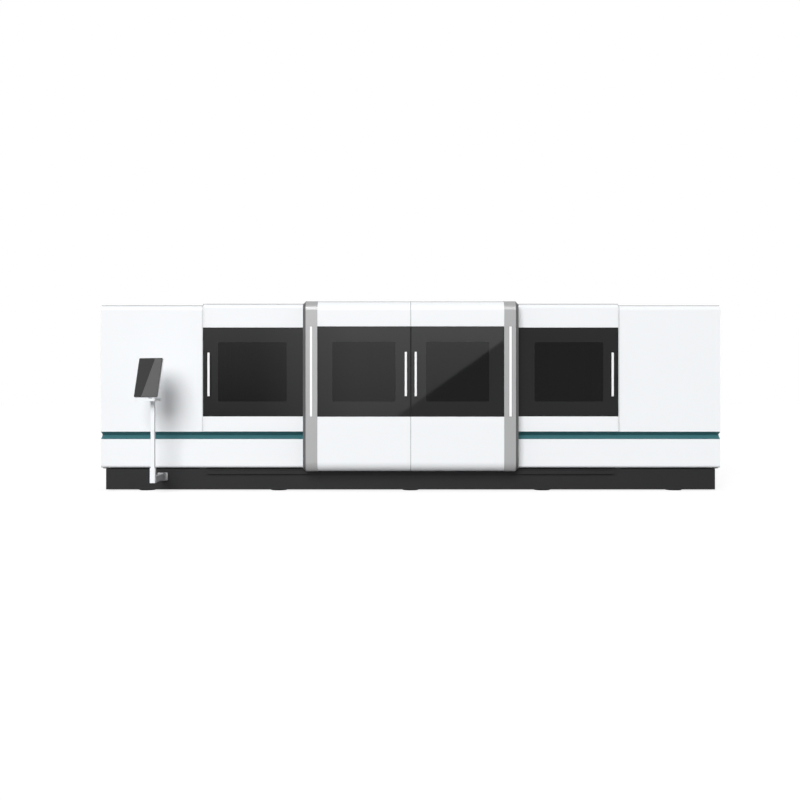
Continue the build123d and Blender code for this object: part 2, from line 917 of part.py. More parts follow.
def hinge_places():
    """Z of the middle of each rear door hinge."""
    return (cabinet_bottom + hinge_inset, cabinet_top - hinge_inset)


hinge_y = body_depth + face_gap + rear_door_thickness / 2
hinge_x_right = cabinet_right + hinge_offset / 2


def build_cabinet():
    """Electrical cabinet open to the rear, with a mounting plate and the pins of the door hinges."""
    wall = cabinet_wall
    shell = block(cabinet_left, cabinet_right, cabinet_front, body_depth, cabinet_bottom, cabinet_top)
    shell -= block(
        cabinet_left + wall, cabinet_right - wall, cabinet_front + wall, body_depth + 1,
        cabinet_bottom + wall, cabinet_top - wall,
    )
    rim = 2 * hinge_offset
    outer = block(
        cabinet_left - rim + seam_gap, cabinet_right + rim - seam_gap, rear_inner, body_depth,
        plinth_top + tube, cabinet_top + hinge_offset - seam_gap,
    )
    shell += outer - block(
        cabinet_left + wall, cabinet_right - wall, rear_inner - 1, body_depth + 1,
        cabinet_bottom + wall, cabinet_top - wall,
    )
    for side in (-1, 1):
        middle = (cabinet_left + cabinet_right) / 2
        x = middle + side * (hinge_x_right - middle)
        for z in hinge_places():
            for end in (-1, 1):
                near = z + end * (hinge_knuckle_height / 2 + face_gap)
                far = near + end * hinge_lug_height
                z_from = min(near, far)
                z_to = max(near, far)
                half = hinge_lug_half_width
                lug = block(x - half, x + half, body_depth, hinge_y, z_from, z_to)
                shell += lug + rod_z(hinge_knuckle_radius - 1, z_from, z_to, x, hinge_y)
            half = hinge_knuckle_height / 2 + face_gap + hinge_lug_height
            shell += rod_z(hinge_pin_radius, z - half, z + half, x, hinge_y)
    return shell


def build_rear_door():
    """Right rear door: folded tray with the knuckles of its hinges."""
    middle = (cabinet_left + cabinet_right) / 2
    left = middle + rear_door_gap / 2
    right = hinge_x_right - hinge_offset
    front = body_depth + face_gap
    back = front + rear_door_thickness
    low = cabinet_bottom
    high = cabinet_top
    wall = rear_door_wall
    door = block(left, right, front, back, low, high)
    door -= block(left + wall, right - wall, front - 1, back - wall, low + wall, high - wall)
    for z in hinge_places():
        z_from = z - hinge_knuckle_height / 2
        z_to = z + hinge_knuckle_height / 2
        leaf = hinge_leaf_half_depth
        door += block(right - 1, hinge_x_right, hinge_y - leaf, hinge_y + leaf, z_from, z_to)
        door += rod_z(hinge_knuckle_radius, z_from, z_to, hinge_x_right, hinge_y)
        door -= rod_z(hinge_pin_radius + running_gap, z_from - 1, z_to + 1, hinge_x_right, hinge_y)
    return door


def build_door_rails():
    """Rails of the doors: on the sill, two on the roof edge and one on the face of the plinth."""
    half = opening_half_width - rail_end_gap
    long = centre_rail_half_length
    sill_back = sill_rail_front + sill_rail_depth
    sill = block(-half, half, sill_rail_front, sill_back, sill_top, sill_top + sill_rail_height)
    side = block(
        -half, half, roof_side_rail_y, roof_side_rail_y + roof_side_rail_depth,
        cover_top, cover_top + roof_side_rail_height,
    )
    centre = block(
        -long, long, roof_centre_rail_y, roof_centre_rail_y + roof_centre_rail_depth,
        cover_top, cover_top + roof_centre_rail_height,
    )
    low = block(-long, long, plinth_rail_front, plinth_front, plinth_rail_bottom, plinth_rail_top)
    return group(sill, side, centre, low)


def recessed_line(front, bottom, top, recess):
    """The front of a door leaf from bottom to top, stepped back where the glass lies."""
    low = glass_bottom - glass_gap
    high = glass_top + glass_gap
    back = front + recess
    return [(front, bottom), (front, low), (back, low), (back, high), (front, high), (front, top)]


def build_side_panel():
    """Side door leaf: one folded sheet over the roof edge, with its window and the seal flange."""
    line = recessed_line(side_door_front, side_door_bottom, side_door_top, glass_thickness)
    line += [(side_door_return, side_door_top), (side_door_return, side_door_top - side_return_drop)]
    section = folded_section(line, [0, 0, 0, 0, side_door_radius, 0], door_wall)
    leaf = along_x(section, side_door_inner_edge, door_outer_edge)
    leaf += block(
        side_door_inner_edge, side_door_inner_edge + door_wall, side_seal_front,
        side_door_front + door_wall, side_door_bottom, side_door_top - side_door_radius,
    )
    return leaf - block(
        side_window_inner, side_window_outer, side_door_front, 0, door_window_bottom, side_window_top
    )


def build_side_frame():
    """Stiffening frame behind the side door leaf, with its glide on the sill rail."""
    back = side_door_front + glass_thickness + door_wall
    front_to_back = (back, back + side_frame_thickness)
    low = sill_top + sill_rail_height + rail_clearance
    high = header_bottom + side_frame_width
    left = side_door_inner_edge + side_frame_inset
    right = door_outer_edge - side_frame_inset
    width = side_frame_width
    outer = block(left, right, *front_to_back, low, high)
    return outer - block(
        left + width, right - width, back - 1, back + side_frame_thickness + 1, low + width, high - width
    )


def build_side_glass():
    """Dark glass of a side door, flush in the recess of its leaf."""
    x_from = side_door_inner_edge + door_wall + glass_gap
    x_to = door_outer_edge
    y_from = side_door_front
    return block(x_from, x_to, y_from, y_from + glass_thickness, glass_bottom, glass_top)


def build_handle(x, face, reach, thickness):
    """Bar handle on two posts. The reach is from the glass to the front of the bar."""
    half = handle_width / 2
    front = face - reach
    bar = block(x - half, x + half, front, front + thickness, handle_bottom, handle_top)
    bar = fillet(bar.edges().filter_by(Axis.Y), handle_corner_radius)
    bar = chamfer(bar.faces().sort_by(Axis.Y)[0].edges(), handle_chamfer)
    for z in (handle_bottom + handle_post_inset, handle_top - handle_post_inset):
        bar += rod_y(handle_post_radius, front + thickness - 1, face, x, z)
    return bar


centre_panel_edge = centre_door_outer_edge - band_width


def centre_outline(proud, back_from, back_to):
    """Outer line of a centre door in Y and Z, from its bottom return over the front to the roof."""
    front = centre_door_front - proud
    bottom = centre_door_bottom - proud
    top = centre_door_top + proud
    return [(back_from, bottom), (front, bottom), (front, top), (back_to, top)]


def build_centre_panel():
    """Centre door leaf: one folded sheet with large radii, a recess for the glass and its window."""
    plain = centre_outline(0, plinth_rail_front - plinth_rail_gap, centre_door_return)
    front = recessed_line(centre_door_front, centre_door_bottom, centre_door_top, glass_thickness)
    line = [plain[0]] + front + [plain[-1]]
    radii = [centre_door_radius, 0, 0, 0, 0, centre_door_radius]
    leaf = along_x(folded_section(line, radii, door_wall), seam_gap / 2, centre_panel_edge)
    behind = centre_door_front + glass_thickness + door_wall + 1
    return leaf - block(
        centre_window_inner, centre_window_outer, centre_door_front, behind,
        door_window_bottom, centre_window_top,
    )


def build_centre_frame():
    """Inner frame of a centre door: two C ribs with their arms and glides, and bars between them."""
    wall = door_wall
    front = centre_door_front + wall
    recess = centre_door_front + glass_thickness + wall
    back = front + centre_rib_depth
    top = centre_door_top - wall
    bottom = centre_door_bottom + wall
    shoe_back = plinth_front - 1
    tongue = cover_top + roof_centre_rail_height + rail_clearance
    clear = centre_door_back - centre_rib_clearance
    shoe_top = lower_cover_bottom - centre_rib_clearance
    taper = centre_rib_taper
    inner_radius = centre_door_radius - wall
    low_edge = glass_bottom - glass_gap - wall
    high_edge = glass_top + glass_gap + wall
    outline = [
        (clear, bottom), (front, bottom), (front, low_edge), (recess, low_edge),
        (recess, high_edge), (front, high_edge), (front, top), (clear, top),
    ]
    edges = rounded_edges(outline, [inner_radius, 0, 0, 0, 0, inner_radius])
    back_line = [
        (clear, top), (clear, tongue), (back, tongue - taper),
        (back, shoe_top + taper), (clear, shoe_top), (clear, bottom),
    ]
    edges += [Line(a, b) for a, b in zip(back_line, back_line[1:])]
    section = make_face(edges)
    inner_x = centre_rib_inset
    outer_x = centre_panel_edge - centre_rib_inset
    glide_front = roof_centre_rail_y + roof_centre_rail_depth + glide_gap
    glide_low = plinth_rail_top + rail_clearance
    members = []
    for x in (inner_x, outer_x - centre_rib_width):
        side = x + centre_rib_width
        members.append(along_x(section, x, side))
        members.append(block(x, side, clear, centre_door_return, tongue, top))
        members.append(block(x, side, glide_front, centre_door_return, tongue - glide_drop, tongue))
        members.append(block(x, side, clear, shoe_back, bottom, shoe_top))
        members.append(block(x, side, plinth_rail_front, shoe_back, glide_low, bottom))
    bar = centre_bar_height
    for z in (low_edge + bar / 2, high_edge - 1.5 * bar):
        members.append(
            block(inner_x + centre_rib_width, outer_x - centre_rib_width, recess, back, z, z + bar)
        )
    return group(*members)


def build_centre_glass():
    """Dark glass of a centre door, flush in the recess of its leaf."""
    return block(
        seam_gap / 2 + 0.5, centre_panel_edge - glass_gap, centre_door_front,
        centre_door_front + glass_thickness, glass_bottom, glass_top,
    )


def build_band():
    """Grey edge band: hollow C section with a chamfered outer edge, side wall and light slot."""
    outer_x = centre_door_outer_edge
    inner_x = centre_panel_edge
    radius = centre_door_radius + band_proud
    front = centre_door_front - band_proud
    bottom = centre_door_bottom - band_proud
    top = centre_door_top + band_proud
    line = centre_outline(band_proud, centre_door_back, centre_door_back)
    band = along_x(folded_section(line, [radius, radius], band_wall), inner_x, outer_x)
    rim = []
    for edge in band.edges():
        middle = edge.center()
        on_side = abs(middle.X - outer_x) < 0.01
        straight = min(abs(middle.Y - front), abs(middle.Z - bottom), abs(middle.Z - top)) < 0.01
        bent = edge.geom_type == GeomType.CIRCLE and abs(edge.radius - radius) < 0.01
        if on_side and (straight or bent):
            rim.append(edge)
    band = chamfer(rim, band_chamfer)
    skin = front + band_skin
    ends = (bottom + centre_door_radius, top - centre_door_radius)
    band -= block(
        inner_x + band_skin, outer_x - band_chamfer - band_skin, skin, front + band_wall + 1, *ends
    )
    band += block(
        outer_x - band_side_wall, outer_x, front + band_wall - 1, centre_door_back,
        bottom + band_wall - 1, top - band_wall + 1,
    )
    back = centre_door_back
    tongue_top = block(
        inner_x, outer_x - band_chamfer, back - 1, centre_door_return, top - band_return_wall, top
    )
    tongue_bottom = block(
        inner_x, outer_x - band_chamfer, back - 1, plinth_rail_front - plinth_rail_gap,
        bottom, bottom + band_return_wall,
    )
    band += tongue_top + tongue_bottom
    strip_x = outer_x - strip_inset
    half = strip_width / 2
    return band - block(strip_x - half, strip_x + half, front - 1, skin + 1, glass_bottom, glass_top)


def build_light_strip():
    """White light strip that fills the slot of the band."""
    strip_x = centre_door_outer_edge - strip_inset
    half = strip_width / 2
    front = centre_door_front - band_proud - strip_proud
    back = centre_door_front - band_proud + band_skin + strip_tail
    strip = block(strip_x - half, strip_x + half, front, back, glass_bottom, glass_top)
    return chamfer(strip.faces().sort_by(Axis.Y)[0].edges().filter_by(Axis.Z), strip_chamfer)


def build_console_bracket():
    """Bracket on the plinth: plate, two lugs and the pivot pin of the arm."""
    low = console_arm_bottom - face_gap
    high = console_arm_top + face_gap
    thick = console_lug_thickness
    plate_front = plinth_front - console_plate_thickness
    bracket = block(
        console_x - console_plate_half_width, console_x + console_plate_half_width,
        plate_front, plinth_front, low - thick, high + thick,
    )
    bracket = fillet(bracket.edges().filter_by(Axis.Y), console_plate_radius)
    for z_from, z_to in ((low - thick, low), (high, high + thick)):
        bracket += block(
            console_x - arm_boss_radius, console_x + arm_boss_radius,
            console_pivot_y, plate_front + 1, z_from, z_to,
        )
        bracket += rod_z(arm_boss_radius, z_from, z_to, console_x, console_pivot_y)
    return bracket + rod_z(console_pin_radius, low - thick, high + thick, console_x, console_pivot_y)


def build_console_arm():
    """Grey arm: bored boss and rectangular tube out to the foot of the post."""
    half = console_arm_width / 2
    arm_end = console_post_y + foot_size / 2
    arm = rod_z(arm_boss_radius, console_arm_bottom, console_arm_top, console_x, console_pivot_y)
    arm += block(
        console_x - half, console_x + half, arm_end, console_pivot_y, console_arm_bottom, console_arm_top
    )
    bore = console_pin_radius + running_gap
    return arm - rod_z(bore, console_arm_bottom - 1, console_arm_top + 1, console_x, console_pivot_y)


def build_console_post():
    """White post: square foot sleeve, tube and the spigot that carries the head."""
    half = foot_size / 2
    foot = block(
        console_x - half, console_x + half, console_post_y - half, console_post_y + half,
        foot_bottom, foot_top,
    )
    foot = fillet(foot.edges().filter_by(Axis.Z), foot_radius)
    tube_x = post_width / 2
    tube_y = post_depth / 2
    post = block(
        console_x - tube_x, console_x + tube_x, console_post_y - tube_y, console_post_y + tube_y,
        foot_top, post_top,
    )
    post = fillet(post.edges().filter_by(Axis.Z), post_radius)
    return foot + post + rod_z(spigot_radius, post_top, post_top + spigot_height, console_x, console_post_y)


head_place = Pos(console_x, console_post_y, 0) * Rot(0, 0, head_yaw)


def build_tray():
    """White tray with the hub that turns on the post's spigot. Drawn facing -Y at the post's axis."""
    half = tray_width / 2
    y_from = -tray_offset - tray_depth / 2
    y_to = -tray_offset + tray_depth / 2
    tray = block(-half, half, y_from, y_to, tray_bottom, tray_top)
    tray = fillet(tray.edges().filter_by(Axis.Z), tray_corner_radius)
    hub_low = post_top + face_gap
    hub = rod_z(tray_hub_radius, hub_low, tray_top, 0, 0)
    hub += block(-tray_hub_radius, tray_hub_radius, y_to - 1, 0, tray_bottom, tray_top)
    tray += hub
    bore_top = post_top + spigot_height + face_gap
    tray -= rod_z(spigot_radius + running_gap, hub_low - 1, bore_top, 0, 0)
    return head_place * tray


def build_neck():
    """Dark neck from the tray to the tilt pin behind the screen."""
    front = -tilt_axis_offset
    back = -neck_back
    stalk = block(-neck_half_width, neck_half_width, front, back, tray_top, tilt_axis_z)
    barrel = rod_x(tilt_barrel_radius, -tilt_barrel_half_length, tilt_barrel_half_length, front, tilt_axis_z)
    reach = tilt_barrel_half_length + face_gap + ear_thickness
    pin = rod_x(tilt_pin_radius, -reach, reach, front, tilt_axis_z)
    return head_place * (stalk + barrel + pin)


screen_place = head_place * Pos(0, -screen_offset, screen_centre_z) * Rot(screen_lean, 0, 0)


def tilt_axis_in_screen():
    """Y and Z of the tilt axis in the screen's own frame, whose front face is at Y 0."""
    lean = math.radians(-screen_lean)
    rise = tilt_axis_z - screen_centre_z
    back = screen_offset - tilt_axis_offset
    y = back * math.cos(lean) - rise * math.sin(lean)
    z = back * math.sin(lean) + rise * math.cos(lean)
    return (y, z)


def build_screen_housing():
    """White screen housing with two ears on the tilt pin."""
    half = screen_width / 2
    tall = screen_height / 2
    housing = block(-half, half, 0, screen_thickness, -tall, tall)
    housing = fillet(housing.edges().filter_by(Axis.Y), screen_corner_radius)
    housing = chamfer(housing.faces().sort_by(Axis.Y)[-1].edges(), screen_back_chamfer)
    margin = display_margin
    housing -= block(-half + margin, half - margin, -1, display_thickness, -tall + margin, tall - margin)
    y, z = tilt_axis_in_screen()
    near = tilt_barrel_half_length + face_gap
    for side in (-1, 1):
        x_from = min(side * near, side * (near + ear_thickness))
        ear = block(
            x_from, x_from + ear_thickness, screen_thickness - 1, y, z - tilt_barrel_radius,
            z + tilt_barrel_radius,
        )
        ear += rod_x(tilt_barrel_radius, x_from, x_from + ear_thickness, y, z)
        hole = tilt_pin_radius + running_gap
        housing += ear - rod_x(hole, x_from - 1, x_from + ear_thickness + 1, y, z)
    return screen_place * housing


def build_display():
    """Dark display glass flush in the front of the housing."""
    half = screen_width / 2 - display_margin
    tall = screen_height / 2 - display_margin
    return screen_place * block(-half, half, 0, display_thickness, -tall, tall)


nodes["plinth"] = build_plinth()
nodes["foot_pads"] = build_pads()
nodes["bed"] = build_bed()
nodes["linear_rails"] = build_linear_rails()
nodes["headstock"] = build_headstock()
nodes["enclosure_frame"] = build_frame()
nodes["door_rails"] = build_door_rails()
add_pair("outer_cover_left", "outer_cover_right", build_outer_cover())
add_pair("end_panel_left", "end_panel_right", build_end_panel())
add_pair("lower_cover_left", "lower_cover_right", build_lower_cover())
add_pair("accent_groove_left", "accent_groove_right", build_groove())
nodes["roof_panel"] = build_roof()
nodes["extraction_collar"] = build_collar()
nodes["rear_panels"] = build_rear_panels()
nodes["cabinet_shell"] = build_cabinet()

rear_door = build_rear_door()
nodes["rear_door_right"] = rear_door
cabinet_middle = Plane.YZ.offset((cabinet_left + cabinet_right) / 2)
nodes["rear_door_left"] = mirror(rear_door, about=cabinet_middle)

add_pair("side_door_left_panel", "side_door_right_panel", build_side_panel())
add_pair("side_door_left_frame", "side_door_right_frame", build_side_frame())
add_pair("side_door_left_glass", "side_door_right_glass", build_side_glass())
side_handle = build_handle(side_handle_x, side_door_front, side_handle_reach, side_handle_thickness)
add_pair("side_door_left_handle", "side_door_right_handle", side_handle)

add_pair("centre_door_left_panel", "centre_door_right_panel", build_centre_panel())
add_pair("centre_door_left_frame", "centre_door_right_frame", build_centre_frame())
add_pair("centre_door_left_glass", "centre_door_right_glass", build_centre_glass())
add_pair("centre_door_left_band", "centre_door_right_band", build_band())
add_pair("centre_door_left_light_strip", "centre_door_right_light_strip", build_light_strip())
centre_handle = build_handle(
    centre_handle_x, centre_door_front, centre_handle_reach, centre_handle_thickness
)
add_pair("centre_door_left_handle", "centre_door_right_handle", centre_handle)

nodes["spindle_chuck"] = build_chuck()
for jaw_index in range(jaw_count):
    nodes[f"chuck_jaw_{jaw_index + 1}"] = build_jaw(jaw_index)
nodes["tailstock"] = build_tailstock()
nodes["tailstock_quill"] = build_quill()
nodes["live_centre"] = build_live_centre()
nodes["column_carriage"] = build_column()
nodes["column_saddle"] = build_saddle()
nodes["cross_arm"] = build_arm()
nodes["cladding_head"] = build_head()
nodes["cladding_nozzle"] = build_nozzle()

nodes["console_bracket"] = build_console_bracket()
nodes["console_arm"] = build_console_arm()
nodes["console_post"] = build_console_post()
nodes["console_tray"] = build_tray()
nodes["console_neck"] = build_neck()
nodes["console_screen_housing"] = build_screen_housing()
nodes["console_display"] = build_display()

# The origin goes to the floor under the middle of the whole machine.
boxes = [solid.bounding_box() for solid in nodes.values()]
front_end = min(box.min.Y for box in boxes)
back_end = max(box.max.Y for box in boxes)
origin_y = (front_end + back_end) / 2

os.makedirs("parts", exist_ok=True)
for name, solid in nodes.items():
    placed = Pos(0, -origin_y, 0) * solid
    export_step(placed, f"parts/{name}.step")
print(len(nodes), "nodes, origin at Y", round(origin_y, 3))
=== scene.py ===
import math
import bmesh
import bpy
from mathutils import Matrix, Vector


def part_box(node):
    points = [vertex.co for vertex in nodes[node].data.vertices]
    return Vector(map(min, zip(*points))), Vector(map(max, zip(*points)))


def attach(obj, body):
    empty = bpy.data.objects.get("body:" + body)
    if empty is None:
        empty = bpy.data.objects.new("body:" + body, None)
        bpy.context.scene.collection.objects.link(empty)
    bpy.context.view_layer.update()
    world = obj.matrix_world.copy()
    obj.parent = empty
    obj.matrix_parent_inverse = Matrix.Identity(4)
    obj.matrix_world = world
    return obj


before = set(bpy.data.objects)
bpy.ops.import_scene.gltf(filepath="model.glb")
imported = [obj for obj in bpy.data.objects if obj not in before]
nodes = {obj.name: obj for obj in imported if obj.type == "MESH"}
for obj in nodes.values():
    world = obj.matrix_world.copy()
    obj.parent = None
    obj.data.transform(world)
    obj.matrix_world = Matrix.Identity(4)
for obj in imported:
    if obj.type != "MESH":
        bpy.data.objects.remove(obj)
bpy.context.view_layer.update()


weldWithin = 0.00001


def solidBoxes(name):  # low and high corner of each separate solid of a node
    mesh = bmesh.new()
    mesh.from_mesh(nodes[name].data)
    bmesh.ops.remove_doubles(mesh, verts=mesh.verts, dist=weldWithin)
    left = set(mesh.verts)
    boxes = []
    while left:
        island = {left.pop()}
        toVisit = list(island)
        while toVisit:
            vertex = toVisit.pop()
            for link in vertex.link_edges:
                other = link.other_vert(vertex)
                if other in left:
                    left.discard(other)
                    island.add(other)
                    toVisit.append(other)
        boxes.append([
            Vector([pick(vertex.co[i] for vertex in island) for i in range(3)]) for pick in (min, max)
        ])
    mesh.free()
    return sorted(boxes, key=lambda box: tuple(box[0]))


# Small tools for shader maths

class Field:  # a value that changes over a surface, with Python's own operators
    def __init__(self, finish, socket):
        self.finish = finish
        self.socket = socket

    def combine(self, operation, first, second):
        return self.finish.add("ShaderNodeMath", {"operation": operation}, {0: first, 1: second})

    def apply(self, operation):  # for the operations that take one value
        return self.finish.add("ShaderNodeMath", {"operation": operation}, {0: self})

    def __add__(self, other):
        return self.combine("ADD", self, other)

    def __radd__(self, other):
        return self.combine("ADD", other, self)

    def __sub__(self, other):
        return self.combine("SUBTRACT", self, other)

    def __rsub__(self, other):
        return self.combine("SUBTRACT", other, self)

    def __mul__(self, other):
        return self.combine("MULTIPLY", self, other)

    def __rmul__(self, other):
        return self.combine("MULTIPLY", other, self)

    def __truediv__(self, other):
        return self.combine("DIVIDE", self, other)

    def __rtruediv__(self, other):
        return self.combine("DIVIDE", other, self)

    def __gt__(self, other):
        return self.combine("GREATER_THAN", self, other)

    def __lt__(self, other):
        return self.combine("LESS_THAN", self, other)


class Finish:  # one material and the nodes in it
    def __init__(self, name):
        self.material = bpy.data.materials.new(name)
        self.material.use_nodes = True
        self.tree = self.material.node_tree
        self.tree.nodes.clear()

    def add(self, kind, settings, sockets, output=0):
        node = self.tree.nodes.new(kind)
        for key, value in settings.items():
            setattr(node, key, value)
        for key, value in sockets.items():
            if isinstance(value, Field):
                self.tree.links.new(value.socket, node.inputs[key])
            else:
                node.inputs[key].default_value = value
        return Field(self, node.outputs[output]) if node.outputs else None

    def where(self):  # place on the piece in metres
        return self.add("ShaderNodeTexCoord", {}, {}, "Object")

    def axis(self, name):
        return self.add("ShaderNodeSeparateXYZ", {}, {"Vector": self.where()}, name)

    def stretched(self, factors):
        return self.add(
            "ShaderNodeVectorMath", {"operation": "MULTIPLY"}, {0: self.where(), 1: factors}
        )

    def noise(self, scale, detail, place=None):
        sockets = {"Vector": place or self.where(), "Scale": scale, "Detail": detail}
        return self.add("ShaderNodeTexNoise", {}, sockets)

    def blendColour(self, amount, first, second):
        return self.add(
            "ShaderNodeMix", {"data_type": "RGBA"},
            {"Factor": amount, 6: asColour(first), 7: asColour(second)}, 2,
        )

    def bump(self, height, distance, strength):
        sockets = {"Height": height, "Distance": distance, "Strength": strength}
        return self.add("ShaderNodeBump", {}, sockets)

    def done(self, sockets):
        shader = self.add("ShaderNodeBsdfPrincipled", {}, sockets)
        self.add("ShaderNodeOutputMaterial", {}, {"Surface": shader})
        return self.material


def asColour(value):
    return (*value, 1) if isinstance(value, tuple) and len(value) == 3 else value


def between(grain, least, most):  # grain runs from 0 to 1
    return least + grain * (most - least)


# Camera

cameraView = {"x": -0.1265, "y": -12.693, "z": 1.085, "lens": 45.2, "sensor": 36.0, "clipEnd": 200.0}


def makeCamera():
    lens = bpy.data.cameras.new("camera")
    lens.lens = cameraView["lens"]
    lens.sensor_width = cameraView["sensor"]
    lens.clip_end = cameraView["clipEnd"]
    camera = bpy.data.objects.new("camera", lens)
    camera.location = (cameraView["x"], cameraView["y"], cameraView["z"])
    camera.rotation_euler = (math.radians(90), 0, 0)  # level
    bpy.context.scene.collection.objects.link(camera)
    bpy.context.scene.camera = camera
    print("camera set")


# Light, floor and backdrop

studio = {
    "skyLow": 0.68,  # soft sky on the object, at the horizon
    "skyHigh": 0.0,  # and overhead
    "skyBehind": 1.2,  # and from behind the machine
    "skyBehindShare": 0.45,
    "backdrop": 1.0,  # white for the camera, for mirrored rays and through glass
    "keyStrength": 2.52,
    "keySoftness": 34.0,  # degrees across
    "keyAzimuth": -12.0,  # degrees from the machine's front, minus is to the left
    "keyElevation": 27.0,
    "keyAway": 12.0,
    "floorSeen": (0.46, 0.46, 0.462),  # what the camera sees of the light on the floor
    "floorGlow": 0.71,  # lifts the seen floor to white, so only the shadow stays
    "floorPatch": ((0.5, 0.5, 0.5), 0.1),  # lighter patches, and their share
    "floorPatchScale": 0.8,
    "floorBounce": (0.2, 0.2, 0.2),  # what the floor throws back on the object
    "floorHalf": 400.0,
}


def makeSky():
    world = bpy.data.worlds.new("sky")
    world.use_nodes = True
    tree = world.node_tree
    tree.nodes.clear()
    path = tree.nodes.new("ShaderNodeLightPath")
    direction = tree.nodes.new("ShaderNodeTexCoord")
    part = tree.nodes.new("ShaderNodeSeparateXYZ")
    tree.links.new(direction.outputs["Generated"], part.inputs["Vector"])
    behind = tree.nodes.new("ShaderNodeMapRange")  # lifts the rear of the machine out of the dark
    behind.inputs["To Max"].default_value = studio["skyBehindShare"]
    tree.links.new(part.outputs["Y"], behind.inputs["Value"])
    layers = {}
    for name in ("skyLow", "skyHigh", "skyBehind", "backdrop"):
        layers[name] = tree.nodes.new("ShaderNodeBackground")
        layers[name].inputs["Color"].default_value = (1, 1, 1, 1)
        layers[name].inputs["Strength"].default_value = studio[name]
    current = layers["skyLow"].outputs[0]
    for factor, layer in (
        (part.outputs["Z"], "skyHigh"), (behind.outputs["Result"], "skyBehind"),
        (path.outputs["Is Glossy Ray"], "backdrop"), (path.outputs["Is Transmission Ray"], "backdrop"),
        (path.outputs["Is Camera Ray"], "backdrop"),
    ):
        mix = tree.nodes.new("ShaderNodeMixShader")
        tree.links.new(factor, mix.inputs[0])
        tree.links.new(current, mix.inputs[1])
        tree.links.new(layers[layer].outputs[0], mix.inputs[2])
        current = mix.outputs[0]
    output = tree.nodes.new("ShaderNodeOutputWorld")
    tree.links.new(current, output.inputs["Surface"])
    bpy.context.scene.world = world


def addKeyLight():
    lamp = bpy.data.lights.new("key_light", "SUN")
    lamp.energy = studio["keyStrength"]
    lamp.angle = math.radians(studio["keySoftness"])
    key = bpy.data.objects.new("key_light", lamp)
    turn = math.radians(studio["keyAzimuth"])
    rise = math.radians(studio["keyElevation"])
    towards = Vector((math.cos(rise) * math.sin(turn), -math.cos(rise) * math.cos(turn), math.sin(rise)))
    key.rotation_mode = "QUATERNION"
    key.rotation_quaternion = (-towards).to_track_quat("-Z", "Y")
    key.location = towards * studio["keyAway"]
    bpy.context.scene.collection.objects.link(key)


reflectionCard = {  # weak card behind the camera that the door glass mirrors
    "y": -20.0, "left": -12.0, "right": 14.0, "bottom": -1.4, "top": 9.0,
    "dark": 0.3,  # strengths
    "bright": 1.25,
    "least": 0.19,  # share of the full strength at the card's lower left
    "gainX": (0.44, -4.6, -1.6),  # gained share, and from where to where
    "gainZ": (0.36, 0.6, 3.3),
    "slantX": -3.0,  # the bright part lies above a slant from here
    "slantRise": 0.7145,
    "brightTo": 3.2,
}


def makeReflectionCard():
    finish = Finish("reflection_card")
    x = finish.axis("X")
    z = finish.axis("Z")
    slant = reflectionCard["bottom"] + (x - reflectionCard["slantX"]) * reflectionCard["slantRise"]
    isBright = (z > slant) * (x < reflectionCard["brightTo"])
    rise = reflectionCard["least"]
    for value, key in ((x, "gainX"), (z, "gainZ")):
        gain, fromPlace, toPlace = reflectionCard[key]
        rise = rise + gain * finish.add("ShaderNodeMapRange", {}, {
            "Value": value, "From Min": fromPlace, "From Max": toPlace,
        })
    rest = reflectionCard["dark"] / reflectionCard["bright"]
    none = finish.add("ShaderNodeEmission", {}, {"Strength": 0.0})
    bright = finish.add("ShaderNodeEmission", {}, {"Strength": reflectionCard["bright"]})
    amount = rest + isBright * (rise - rest)
    glow = finish.add("ShaderNodeMixShader", {}, {0: amount, 1: none, 2: bright})
    finish.add("ShaderNodeOutputMaterial", {}, {"Surface": glow})
    mesh = bpy.data.meshes.new("reflection_card")
    y = reflectionCard["y"]
    left, right, bottom, top = (reflectionCard[key] for key in ("left", "right", "bottom", "top"))
    corners = [(left, y, bottom), (right, y, bottom), (right, y, top), (left, y, top)]
    mesh.from_pydata(corners, [], [(0, 1, 2, 3)])
    mesh.materials.append(finish.material)
    card = bpy.data.objects.new("reflection_card", mesh)
    card.visible_camera = False
    card.visible_diffuse = False
    card.visible_shadow = False
    bpy.context.scene.collection.objects.link(card)


def makeFloor():
    finish = Finish("pale_floor")
    tone = finish.noise(studio["floorPatchScale"], 1.0)
    patch, patchShare = studio["floorPatch"]
    colour = finish.blendColour(tone * patchShare, studio["floorSeen"], patch)
    lit = finish.add("ShaderNodeBsdfDiffuse", {}, {"Color": colour})
    glow = finish.add("ShaderNodeEmission", {}, {"Strength": studio["floorGlow"]})
    seen = finish.add("ShaderNodeAddShader", {}, {0: lit, 1: glow})
    bounce = finish.add("ShaderNodeBsdfDiffuse", {}, {"Color": asColour(studio["floorBounce"])})
    diffuseRay = finish.add("ShaderNodeLightPath", {}, {}, "Is Diffuse Ray")
    both = finish.add("ShaderNodeMixShader", {}, {0: diffuseRay, 1: seen, 2: bounce})
    finish.add("ShaderNodeOutputMaterial", {}, {"Surface": both})
    half = studio["floorHalf"]
    mesh = bpy.data.meshes.new("floor")
    corners = [(-half, -half, 0), (half, -half, 0), (half, half, 0), (-half, half, 0)]
    mesh.from_pydata(corners, [], [(0, 1, 2, 3)])
    mesh.materials.append(finish.material)
    floor = bpy.data.objects.new("floor", mesh)
    bpy.context.scene.collection.objects.link(floor)


def makeStudio():
    makeSky()
    addKeyLight()
    makeReflectionCard()
    makeFloor()
    bpy.context.scene.view_settings.view_transform = "Standard"
    print("studio set")


# Finishes. A pair of roughness values is the least and the most, a bump is its depth and strength.

